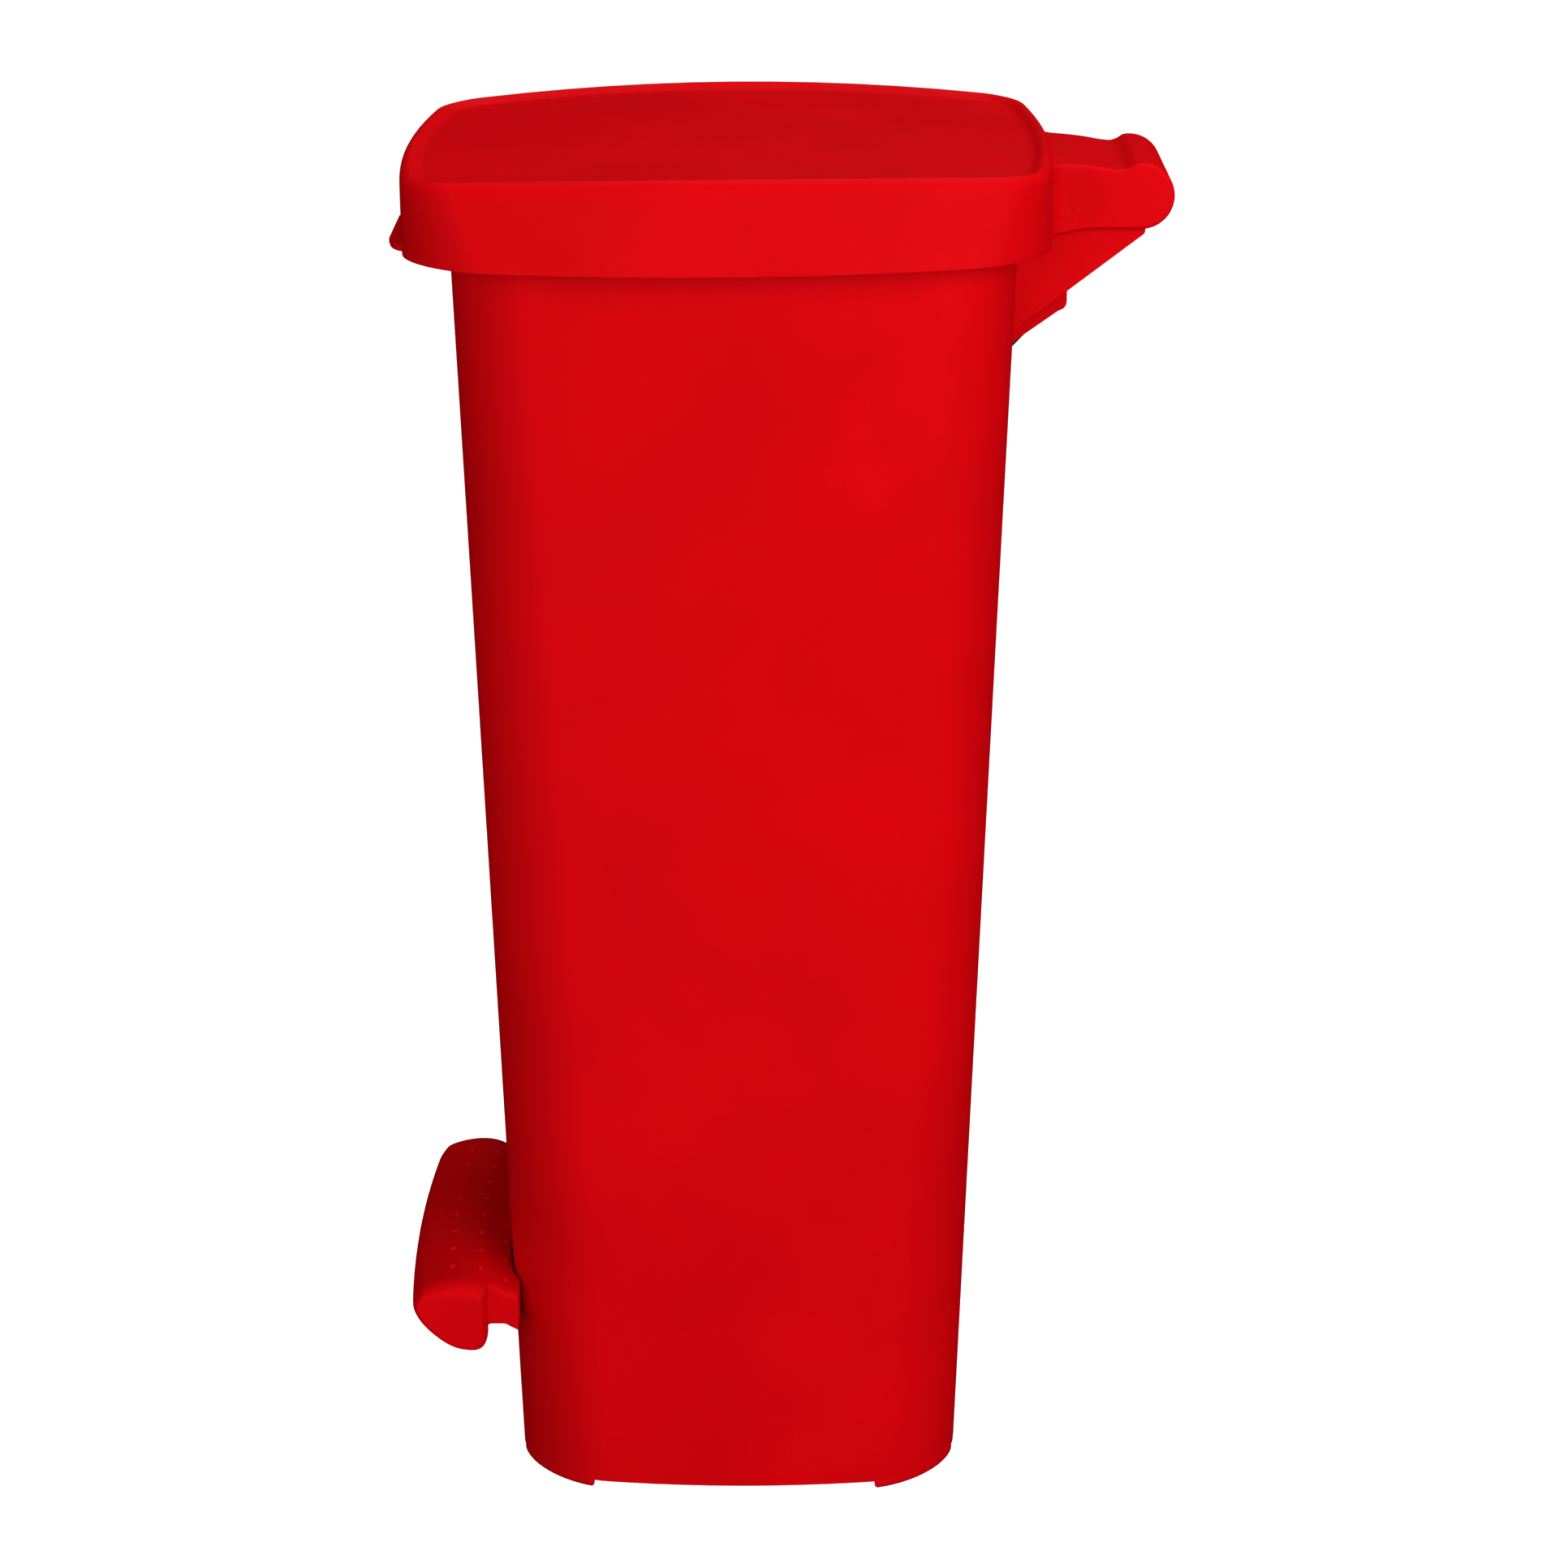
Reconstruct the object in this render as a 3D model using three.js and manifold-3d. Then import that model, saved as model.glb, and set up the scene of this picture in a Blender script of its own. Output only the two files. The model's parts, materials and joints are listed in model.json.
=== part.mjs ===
// Pedal-operated waste bin. A tapered shell stands on four corner feet. Its lid turns on a pin in a
// bracket behind the back wall, and a foot pedal lifts it through a lever and a push rod that runs up a
// channel in the back wall. Millimetres, +Z up, pedal at -X, hinge at +X, ground at Z = 0.

import * as THREE from "three";
import { mergeVertices } from "three/addons/utils/BufferGeometryUtils.js";
import Module from "manifold-3d";

const wasm = await Module();
wasm.setup();

// ---------------------------------------------------------------- driving dimensions

const GAP = 0.3;                    // clearance kept between neighbouring pieces

const BODY_WALL = 3.5;
const BODY_FLOOR_TOP = 13;
const BODY_FOOT = { z: 6, x: 1.6, halfLength: 138, halfWidth: 111.5, corner: 52, front: 9, rear: 9, side: 15 };
const BODY_MOUTH = {
  z: 826, x: -0.3, halfLength: 168, halfWidth: 148, corner: 46, front: 6.6, rear: 6.6, side: 14.4,
};
const RIM = { root: 846, top: 862, width: 8 };

const LID_SKIRT = { x: -4.3, halfLength: 189, halfWidth: 161, corner: 46, front: 12.2, rear: 11.9, side: 30.3 };
const LID_TOP = { x: -5.2, halfLength: 190.1, halfWidth: 150.7, corner: 27, front: 11, rear: 10.9, side: 33.4 };
const LID_EDGE_Z = 827.8;
const LID_WALL = 3;
const LID_CREST = 55.5;             // height of the raised rim above the skirt's lower edge
const LID_PANEL = 51.3;             // height of the recessed top panel
const LID_CROWN = 6.4;              // how far the top falls towards the front and the back
const LID_SLOPE = 0.0125;           // rise of the closed lid towards the hinge

const HINGE = { x: 249.2, z: 850.7 };
const PIN_RADIUS = 4;
const HOOD = { halfWidth: 56, knuckle: 20.4, wall: 3, root: 186, flare: 20 };
const GUSSET = { inner: 45.5, outer: 49.5, boss: 13.5 };
const BUSH_RADIUS = 8;

const PIVOT = { x: -10, z: 60 };    // pedal lever's axle
const AXLE_RADIUS = 5;
const POCKET = { halfWidth: 62, height: 134, end: -50 };
const TUNNEL = { halfWidth: 34, height: 112, end: 175 };
const CASING_WALL = 3.5;

const ROD_RADIUS = 3.5;
const ROD_DEPTH = 11;               // rod's centre below the back wall's face
const CHANNEL = { halfWidth: 9, depth: 18, top: 824, casing: 3 };
const ROD_FOOT_Z = 30;
const ROD_JOG = { low: 735, high: 772 };
const LIFT_RADIUS = 60;             // lid's lifting slot, from the hinge pin
const LIFT_ANGLE = THREE.MathUtils.degToRad(30);
const SLOT_PLAY = 1.5;

const PEDAL = { halfWidth: 126, front: -214.6, back: -162, top: 151.5, low: 102, wall: 3 };
const PEDAL_BOW = 5;                // how far the front edge falls back towards the ends
const PEDAL_ROUND = 14;             // length of the rounding at each end
const NOSE_DROP = 15;               // height of the tread's crown above its front edge
const TREAD = [                     // share of the wing's depth, and fall below the crown
  [0, NOSE_DROP], [0.07, 9.5], [0.14, 6], [0.29, 3], [0.45, 1], [0.65, 0], [0.82, 1], [0.95, 3.4], [1, 5],
  [1.2, 10], [1.4, 14.5],
];
const PAD = { halfWidth: 111, back: -142, low: 116, heel: 111, gap: 1.2 };
const NECK_HALF_WIDTH = 56;
const DOT_ROWS = [-188.5, -170.5, -154.5];
const DOT_PITCH = 27.3;
const PEDAL_SCREWS = [-40, 40];
const SCREW_X = -184;
const SHELF = { z0: 118, z1: 126.5 };
const RIB = { y0: 6, y1: 16 };
const LUG = { y0: 6, y1: 12 };
const LEG = { lower: 21, upper: 17 };
const BUMPERS = [[-176.5, -75], [-176.5, 75], [174.5, -75], [174.5, 75]];
const BRACKET = { low: 765, high: 842, plate: 3.5 };
const RIVETS = [[-31, 777], [31, 777], [-31, 826], [31, 826]];
const RIVET_RADIUS = 3;
const SCREW_RADIUS = 2.5;

const ORIGIN_X = (PEDAL.front + HINGE.x + HOOD.knuckle) / 2;    // middle of the whole length

const RED = { color: 0xc8040c, roughness: 0.5, metalness: 0 };
const STEEL = { color: 0xb4b6b8, roughness: 0.35, metalness: 1 };
const NYLON = { color: 0x1c1c1e, roughness: 0.55, metalness: 0 };
const RUBBER = { color: 0x141414, roughness: 0.85, metalness: 0 };

// ---------------------------------------------------------------- solids

const X = new THREE.Vector3(1, 0, 0);
const Y = new THREE.Vector3(0, 1, 0);
const Z = new THREE.Vector3(0, 0, 1);

const point = (x, y, z) => new THREE.Vector3(x, y, z);

function solid(geometry) {
  const bare = geometry.clone();
  bare.deleteAttribute("normal");
  bare.deleteAttribute("uv");
  const merged = mergeVertices(bare, 1e-4);
  const vertProperties = merged.attributes.position.array;
  const triVerts = new Uint32Array(merged.index.array);
  return new wasm.Manifold(new wasm.Mesh({ numProp: 3, vertProperties, triVerts }));
}

function block(x0, x1, y0, y1, z0, z1) {
  const geometry = new THREE.BoxGeometry(x1 - x0, y1 - y0, z1 - z0);
  return solid(geometry.translate((x0 + x1) / 2, (y0 + y1) / 2, (z0 + z1) / 2));
}

// A round bar between two points, closed at both ends.
function bar(from, to, radius, sides = 16) {
  const along = to.clone().sub(from);
  const geometry = new THREE.CylinderGeometry(radius, radius, along.length(), sides);
  geometry.applyQuaternion(new THREE.Quaternion().setFromUnitVectors(Y, along.clone().normalize()));
  const middle = from.clone().add(to).multiplyScalar(0.5);
  return solid(geometry.translate(middle.x, middle.y, middle.z));
}

function barY(x, z, y0, y1, radius, sides = 16) {
  return bar(point(x, y0, z), point(x, y1, z), radius, sides);
}

// A flat outline in the plane of two axes, extruded between two places on the third axis.
function prism(shape, across, up, from, to) {
  const settings = { depth: to - from, bevelEnabled: false, curveSegments: 6 };
  const geometry = new THREE.ExtrudeGeometry(shape, settings);
  const along = across.clone().cross(up);
  const forwards = along.x + along.y + along.z > 0;
  geometry.applyMatrix4(new THREE.Matrix4().makeBasis(across, up, along));
  const shift = along.clone().multiplyScalar(forwards ? from : -to);
  return solid(geometry.translate(shift.x, shift.y, shift.z));
}

const prismX = (shape, x0, x1) => prism(shape, Y, Z, x0, x1);
const prismY = (shape, y0, y1) => prism(shape, X, Z, y0, y1);
const prismZ = (shape, z0, z1) => prism(shape, X, Y, z0, z1);

function polygon(points) {
  return new THREE.Shape(points.map(([u, v]) => new THREE.Vector2(u, v)));
}

function roundedBox(u0, u1, v0, v1, radius) {
  const shape = new THREE.Shape();
  shape.absarc(u1 - radius, v1 - radius, radius, 0, Math.PI / 2);
  shape.absarc(u0 + radius, v1 - radius, radius, Math.PI / 2, Math.PI);
  shape.absarc(u0 + radius, v0 + radius, radius, Math.PI, 1.5 * Math.PI);
  shape.absarc(u1 - radius, v0 + radius, radius, 1.5 * Math.PI, 2 * Math.PI);
  return shape;
}

// Two round ends joined by straight sides.
function capsule(u0, v0, u1, v1, radius) {
  const turn = Math.atan2(v1 - v0, u1 - u0);
  const shape = new THREE.Shape();
  shape.absarc(u1, v1, radius, turn - Math.PI / 2, turn + Math.PI / 2);
  shape.absarc(u0, v0, radius, turn + Math.PI / 2, turn + 1.5 * Math.PI);
  return shape;
}

// A profile of radii and heights turned about the Z axis.
function turned(profile, sides) {
  const geometry = new THREE.LatheGeometry(profile.map(([r, h]) => new THREE.Vector2(r, h)), sides);
  return solid(geometry.rotateX(Math.PI / 2));
}

// Closed skin over a stack of outlines with equal point counts, each anticlockwise from above.
function loft(rings) {
  const count = rings[0].length;
  const points = rings.flat();
  const faces = [];
  for (let k = 0; k + 1 < rings.length; k += 1) {
    for (let i = 0; i < count; i += 1) {
      const j = (i + 1) % count;
      const [a, b, c, d] = [k * count + i, k * count + j, (k + 1) * count + j, (k + 1) * count + i];
      faces.push(a, b, c, a, c, d);
    }
  }
  const centre = (ring) => ring.reduce((sum, p) => sum.add(p), new THREE.Vector3()).divideScalar(count);
  const low = points.length;
  const top = (rings.length - 1) * count;
  points.push(centre(rings[0]), centre(rings[rings.length - 1]));
  for (let i = 0; i < count; i += 1) {
    const j = (i + 1) % count;
    faces.push(low, j, i, low + 1, top + i, top + j);
  }
  const geometry = new THREE.BufferGeometry().setFromPoints(points);
  geometry.setIndex(faces);
  return solid(geometry);
}

// ---------------------------------------------------------------- outlines of the body and the lid

const CORNER_STEPS = 7;
const SIDE_STEPS = 6;

// Rounded rectangle whose ends and sides bulge outwards, drawn smaller by the inset.
function plan(section, inset = 0) {
  const a = section.halfLength - inset;
  const b = section.halfWidth - inset;
  const radius = Math.max(section.corner - inset, 2);
  const flat = [];
  [[-1, -1], [1, -1], [1, 1], [-1, 1]].forEach(([sx, sy], k) => {
    for (let i = 0; i <= CORNER_STEPS; i += 1) {
      const angle = Math.PI * (1 + k / 2 + i / CORNER_STEPS / 2);
      flat.push([sx * (a - radius) + radius * Math.cos(angle), sy * (b - radius) + radius * Math.sin(angle)]);
    }
  });
  const outline = [];
  flat.forEach(([u, v], k) => {
    outline.push([u, v]);
    if (k % (CORNER_STEPS + 1) === CORNER_STEPS) {
      const [nu, nv] = flat[(k + 1) % flat.length];
      for (let i = 1; i < SIDE_STEPS; i += 1) {
        outline.push([u + ((nu - u) * i) / SIDE_STEPS, v + ((nv - v) * i) / SIDE_STEPS]);
      }
    }
  });
  return outline.map(([u, v]) => {
    const bulge = u < 0 ? section.front : section.rear;
    const x = section.x + u * (1 + (bulge / a) * (1 - (v / b) ** 2));
    const y = v * (1 + (section.side / b) * (1 - (u / a) ** 2));
    return [x, y];
  });
}

// A section part of the way from one to another.
function mix(from, to, share) {
  const section = {};
  for (const key of Object.keys(from)) {
    section[key] = THREE.MathUtils.lerp(from[key], to[key], share);
  }
  return section;
}

const bodySection = (z) => mix(BODY_FOOT, BODY_MOUTH, (z - BODY_FOOT.z) / (BODY_MOUTH.z - BODY_FOOT.z));

const bodyRing = (z, inset = 0) => plan(bodySection(z), inset).map(([x, y]) => point(x, y, z));

// Outer face of the back wall on the centre line.
function backX(z) {
  const section = bodySection(z);
  return section.x + section.halfLength + section.rear;
}

// Height of the lid at a place along its length: height above the skirt's edge and share of the crown.
function lidZ(x, height, crown) {
  const fall = crown * LID_CROWN * ((x - LID_TOP.x) / LID_TOP.halfLength) ** 2;
  return LID_EDGE_Z + height + LID_SLOPE * x - fall;
}

// One outline of the lid: height above the skirt's edge, inset, share of the crown, and scale about the middle.
function lidRing(height, inset, crown, scale = 1) {
  const section = mix(LID_SKIRT, LID_TOP, THREE.MathUtils.clamp(height / LID_CREST, 0, 1));
  return plan(section, inset).map(([x, y]) => {
    const u = section.x + (x - section.x) * scale;
    return point(u, y * scale, lidZ(u, height, crown));
  });
}

// ---------------------------------------------------------------- body

// Space under the bin for the pedal's lever: a wide pocket at the front and a narrow tunnel to the back.
function leverSpace(grow) {
  const pocket = roundedBox(-POCKET.halfWidth - grow, POCKET.halfWidth + grow, -60, POCKET.height + grow, 16);
  const tunnel = roundedBox(-TUNNEL.halfWidth - grow, TUNNEL.halfWidth + grow, -60, TUNNEL.height + grow, 12);
  return prismX(pocket, -TUNNEL.end, POCKET.end + grow).add(prismX(tunnel, POCKET.end - 5, TUNNEL.end));
}

// Upright channel for the push rod, leaning with the back wall and drawn larger by the growth.
function rodChannel(grow) {
  const depth = CHANNEL.depth + grow;
  const top = CHANNEL.top + grow;
  const bottom = -1;
  const outline = polygon([
    [backX(bottom) + 30, bottom],
    [backX(top) + 30, top],
    [backX(top) - depth, top],
    [backX(bottom) - depth, bottom],
  ]);
  return prismY(outline, -CHANNEL.halfWidth - grow, CHANNEL.halfWidth + grow);
}

// Downward-open pockets on the tunnel's side walls that hold the axle blocks.
function blockSeat(side) {
  const inner = TUNNEL.halfWidth - 7;
  const [y0, y1] = side < 0 ? [-TUNNEL.halfWidth - 1, -inner] : [inner, TUNNEL.halfWidth + 1];
  const frame = block(PIVOT.x - 25, PIVOT.x + 25, y0, y1, PIVOT.z - 20, PIVOT.z + 26);
  return frame.subtract(block(PIVOT.x - 20 - GAP, PIVOT.x + 20 + GAP, y0 - 1, y1 + 1, 0, PIVOT.z + 20 + GAP));
}

function rivetHole(y, z) {
  return bar(point(backX(z) - 12, y, z), point(backX(z) + 12, y, z), RIVET_RADIUS + GAP, 12);
}

function bodyShell() {
  const flare = -RIM.width;
  const outer = loft([
    bodyRing(BODY_FOOT.z),
    bodyRing(RIM.root),
    bodyRing(RIM.root + 4, flare),
    bodyRing(RIM.top - 2, flare),
    bodyRing(RIM.top, flare + 2),
  ]);
  const inner = loft([
    bodyRing(BODY_FLOOR_TOP, BODY_WALL + 3),
    bodyRing(BODY_FLOOR_TOP + 6, BODY_WALL),
    bodyRing(RIM.top + 1, BODY_WALL),
  ]);
  const underside = loft([bodyRing(0, BODY_WALL + 2), bodyRing(BODY_FLOOR_TOP - BODY_WALL, BODY_WALL + 2)]);
  const casing = leverSpace(CASING_WALL).add(rodChannel(CHANNEL.casing)).intersect(outer);
  const lugRelief = block(backX(RIM.root) + 3, backX(RIM.root) + 30, -18, 18, RIM.root - 10, RIM.top + 1);
  let shell = outer.subtract(inner).subtract(underside).add(casing);
  shell = shell.subtract(leverSpace(0)).subtract(rodChannel(0));
  shell = shell.subtract(lugRelief).add(blockSeat(-1)).add(blockSeat(1));
  for (const [y, z] of RIVETS) {
    shell = shell.subtract(rivetHole(y, z));
  }
  return shell;
}

// Pad under one corner, flush with the body's outline and rounded at the ground.
function foot(sx, sy) {
  const height = BODY_FOOT.z - GAP;
  const outline = (z, inset) => plan(BODY_FOOT, inset).map(([x, y]) => point(x, y, z));
  const pad = loft([outline(0, 3), outline(0.8, 1.4), outline(2.2, 0.3), outline(3.6, 0), outline(height, 0)]);
  const [x0, x1] = sx < 0 ? [-200, -93] : [92, 200];
  const [y0, y1] = sy < 0 ? [-200, -67] : [67, 200];
  return pad.intersect(block(x0, x1, y0, y1, -1, height + 1));
}

// ---------------------------------------------------------------- hinge bracket

function gussetOutline() {
  const shape = new THREE.Shape();
  shape.moveTo(168, 762);
  shape.lineTo(252.5, 827.5);
  shape.lineTo(253.5, 836);
  shape.absarc(HINGE.x, HINGE.z, GUSSET.boss, -1.1, 2.1);
  shape.lineTo(190, 857);
  shape.lineTo(190, 842);
  shape.lineTo(168, 842);
  return shape;
}

function housingOutline() {
  return polygon([[168, 746.5], [203, 771.5], [206.5, 774.5], [207.5, 778], [207.5, 802], [168, 802]]);
}

function hingeBracket() {
  const plate = polygon([
    [backX(BRACKET.low) - 3, BRACKET.low],
    [backX(BRACKET.low) + BRACKET.plate, BRACKET.low],
    [backX(BRACKET.high) + BRACKET.plate, BRACKET.high],
    [backX(BRACKET.high) - 3, BRACKET.high],
  ]);
  let bracket = prismY(plate, -GUSSET.outer, GUSSET.outer);
  bracket = bracket.add(prismY(gussetOutline(), -GUSSET.outer, -GUSSET.inner));
  bracket = bracket.add(prismY(gussetOutline(), GUSSET.inner, GUSSET.outer));
  bracket = bracket.add(prismY(housingOutline(), -16, 16));
  bracket = bracket.subtract(block(150, 204.5, -12.5, 12.5, 740, 850));
  bracket = bracket.subtract(barY(HINGE.x, HINGE.z, -60, 60, BUSH_RADIUS + GAP));
  bracket = bracket.subtract(loft([bodyRing(700, -GAP), bodyRing(RIM.root + 10, -GAP)]));
  for (const [y, z] of RIVETS) {
    bracket = bracket.subtract(rivetHole(y, z));
  }
  return bracket;
}

// Blind rivet through the bracket's plate and the back wall.
function bracketRivet(y, z) {
  const section = bodySection(z);
  const wall = section.x + section.halfLength + section.rear * (1 - (y / section.halfWidth) ** 2);
  const inside = wall - BODY_WALL - 2 * GAP;
  const grip = backX(z) + BRACKET.plate + 2 * GAP - inside;
  const tail = [[0, -2.2], [4.6, -2.2], [5.4, -1.2], [RIVET_RADIUS, 0]];
  const head = [[RIVET_RADIUS, 0], [6, 0], [5.2, 1.8], [3, 3], [0, 3.2]];
  const outline = [...tail, ...head.map(([r, h]) => [r, h + grip])];
  return turned(outline, 16).rotate([0, 90, 0]).translate([inside, y, z]);
}

// Flanged bearing that carries the hinge pin in a gusset.
function hingeBush(side) {
  const face = GUSSET.outer + GAP;
  const back = GUSSET.inner - 2;
  const sleeve = barY(HINGE.x, HINGE.z, side * back, side * face, BUSH_RADIUS);
  const flange = barY(HINGE.x, HINGE.z, side * face, side * (face + 1.5), 11);
  return sleeve.add(flange).subtract(barY(HINGE.x, HINGE.z, -70, 70, PIN_RADIUS + GAP));
}

// ---------------------------------------------------------------- lid

// Side view of the rear hood with its round hinge knuckle, drawn smaller by the inset.
function hoodOutline(inset) {
  const shape = new THREE.Shape();
  const knuckle = HOOD.knuckle - inset;
  shape.moveTo(HOOD.root, 826 + inset);
  shape.splineThru([[202, 827.8], [212, 829.4], [222, 830.3]].map(([x, z]) => new THREE.Vector2(x, z + inset)));
  shape.absarc(HINGE.x, HINGE.z, knuckle, -Math.PI / 2, THREE.MathUtils.degToRad(102));
  shape.splineThru([[237, 866.8], [224, 868.7], [206, 870.9]].map(([x, z]) => new THREE.Vector2(x, z - inset)));
  shape.lineTo(HOOD.root, 871 - inset);
  return shape;
}

// Plan of the hood: its cheeks flare into the lid's back by concave fillets.
function hoodPlan(inset) {
  const w = HOOD.halfWidth - inset;
  const end = HINGE.x + HOOD.knuckle - inset;
  const root = HOOD.root + 6;
  const corner = 8 - inset;
  const shape = new THREE.Shape();
  shape.moveTo(HOOD.root - 10, -w - HOOD.flare);
  shape.lineTo(root, -w - HOOD.flare);
  shape.quadraticCurveTo(root + 2, -w, root + HOOD.flare, -w);
  shape.absarc(end - corner, -w + corner, corner, -Math.PI / 2, 0);
  shape.absarc(end - corner, w - corner, corner, 0, Math.PI / 2);
  shape.lineTo(root + HOOD.flare, w);
  shape.quadraticCurveTo(root + 2, w, root, w + HOOD.flare);
  shape.lineTo(HOOD.root - 10, w + HOOD.flare);
  return shape;
}

function hood(inset) {
  const reach = HOOD.halfWidth + HOOD.flare + 1;
  return prismY(hoodOutline(inset), -reach, reach).intersect(prismZ(hoodPlan(inset), 800, 900));
}

// Point on the lid's lifting slot at a distance from the hinge pin.
const liftPoint = (r) => [HINGE.x - r * Math.cos(LIFT_ANGLE), HINGE.z - r * Math.sin(LIFT_ANGLE)];

// Lug inside the hood whose slot takes the push rod's upper leg.
function liftLug() {
  const [u0, v0] = liftPoint(LIFT_RADIUS + 0.5);
  const [u1, v1] = liftPoint(LIFT_RADIUS - 9);
  const halfSlot = ROD_RADIUS + SLOT_PLAY;
  const web = polygon([[u0 - 6, v0 + 7], [u1 + 7, v1 - 6], [227, 866], [200, 869.5]]);
  const lug = prismY(capsule(u0, v0, u1, v1, halfSlot + 3.6), LUG.y0, LUG.y1).add(prismY(web, LUG.y0, LUG.y1));
  return lug.subtract(prismY(capsule(u0, v0, u1, v1, halfSlot), LUG.y0 - 1, LUG.y1 + 1));
}

// Ribs inside the hood that hold the hinge pin between the gussets.
function pinRib(y0, y1) {
  const outline = new THREE.Shape();
  outline.absarc(HINGE.x, HINGE.z, 10, Math.PI, 2 * Math.PI);
  outline.lineTo(HINGE.x + 10, HINGE.z + 19);
  outline.lineTo(HINGE.x - 10, HINGE.z + 16);
  return prismY(outline, y0, y1);
}

// Finger lift along the front edge of the skirt.
function fingerLift() {
  const ledge = polygon([
    [-198, -66], [-198, 66], [-206, 62], [-211.5, 52], [-214.5, 36], [-214.5, -36], [-211.5, -52], [-206, -62],
  ]);
  const web = loft([lidRing(-7, 0, 0), lidRing(2, 0, 0)]);
  const within = loft([lidRing(-8, LID_WALL, 0), lidRing(3, LID_WALL, 0)]);
  const skirt = web.subtract(within).intersect(block(-230, -150, -64, 64, 817, 840));
  return prismZ(ledge, 817, 820.8).add(skirt);
}

function lidShell() {
  const outer = loft([
    lidRing(0, 0.6, 0),
    lidRing(1, 0, 0.05),
    lidRing(24, 0, 0.5),
    lidRing(48, 0.1, 0.9),
    lidRing(52, 0.9, 0.97),
    lidRing(LID_CREST - 1, 2.6, 1),
    lidRing(LID_CREST, 5, 1),
    lidRing(LID_CREST - 0.8, 8, 1),
    lidRing(LID_PANEL + 0.8, 11, 1),
    lidRing(LID_PANEL, 14, 1),
    lidRing(LID_PANEL, 14, 1, 0.6),
    lidRing(LID_PANEL, 14, 1, 0.25),
  ]);
  const inner = loft([
    lidRing(-8, LID_WALL, 0),
    lidRing(24, LID_WALL, 0.5),
    lidRing(44, LID_WALL + 0.5, 0.85),
    lidRing(LID_PANEL - LID_WALL - 1.5, 8.5, 1),
    lidRing(LID_PANEL - LID_WALL, 13, 1),
    lidRing(LID_PANEL - LID_WALL, 13, 1, 0.6),
    lidRing(LID_PANEL - LID_WALL, 13, 1, 0.25),
  ]);
  const clear = GUSSET.outer + 3.2;
  const hollow = hood(HOOD.wall).add(block(HOOD.root - 6, HINGE.x + 2, -clear, clear, 815, 845));
  const notch = block(170, HOOD.root + 22, -clear, clear, 815, 862);
  const swingReach = GUSSET.outer + 1.5;
  const swing = block(HINGE.x - 5, HINGE.x + 30, -swingReach, swingReach, 820, 848);
  let shell = outer.add(hood(0).subtract(loft([lidRing(-20, 4, 0), lidRing(60, 4, 1)])));
  shell = shell.subtract(inner).subtract(hollow).subtract(notch).subtract(swing);
  shell = shell.add(liftLug()).add(pinRib(-41, -36)).add(pinRib(36, 41)).add(fingerLift());
  return shell.subtract(barY(HINGE.x, HINGE.z, -48, 48, PIN_RADIUS + GAP));
}

// Rubber stop between the lid's panel and the body's rim.
function lidBumper(x, y) {
  const height = lidZ(x, LID_PANEL - LID_WALL, 1) - 2 * GAP - RIM.top - GAP;
  const outline = [[0, 0], [4, 0], [5, 1], [5.5, height], [0, height]];
  return turned(outline, 16).translate([x, y, RIM.top + GAP]);
}

function pinCap(side) {
  const inner = GUSSET.outer + GAP + 1.5;
  return barY(HINGE.x, HINGE.z, side * (inner + GAP), side * (inner + 1.2), 7)
    .subtract(barY(HINGE.x, HINGE.z, -70, 70, PIN_RADIUS + 0.15));
}

// ---------------------------------------------------------------- pedal and lever

const STATIONS = [-1, -0.985, -0.95, -0.89, -0.6, -0.3, 0, 0.3, 0.6, 0.89, 0.95, 0.985, 1];

// How much the pedal's ends are rounded off: 1 along the middle, falling to 0 at each end.
function fullness(y) {
  const past = Math.max(0, Math.abs(y) - PEDAL.halfWidth + PEDAL_ROUND);
  return Math.sqrt(Math.max(0, 1 - (past / PEDAL_ROUND) ** 2));
}

// Fall of the tread below its crown at a share of the wing's depth.
function treadDrop(share) {
  const k = Math.max(1, TREAD.findIndex(([place]) => place >= share));
  const [[u0, d0], [u1, d1]] = [TREAD[k - 1], TREAD[k]];
  return THREE.MathUtils.lerp(d0, d1, (share - u0) / (u1 - u0));
}

const frontEdge = (y) => PEDAL.front + PEDAL_BOW * (y / PEDAL.halfWidth) ** 2;

// Height of the tread at a share of the wing's depth and a place across its width.
function treadZ(share, y) {
  const nose = PEDAL.top - NOSE_DROP - (y / PEDAL.halfWidth) ** 2;
  return nose + (NOSE_DROP - treadDrop(share)) * (0.45 + 0.55 * fullness(y));
}

// Cross-section of the pedal's wing at a place across its width, anticlockwise seen from +Y.
function pedalSection(y, inset) {
  const cut = 1 - fullness(y);
  const front = frontEdge(y) + 3 * cut + inset;
  const back = PEDAL.back - 4 * cut - inset;
  const low = PEDAL.low + 3 * cut;
  const at = (u, z) => point(THREE.MathUtils.lerp(front, back, u), y, z);
  const tread = TREAD.filter(([share]) => share <= 1).map(([share]) => at(share, treadZ(share, y) - inset));
  if (inset > 0) {
    return [...tread, at(1, low - 30), at(0, low - 30)];
  }
  const skirt = [
    at(1, low + 5), at(0.88, low), at(0.6, low + 1.5), at(0.35, low + 8), at(0.12, low + 18), at(0, low + 27),
  ];
  return [...tread, ...skirt];
}

function pedalForm(inset) {
  const reach = PEDAL.halfWidth - inset;
  return loft(STATIONS.map((share) => pedalSection(share * reach, inset)));
}

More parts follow.
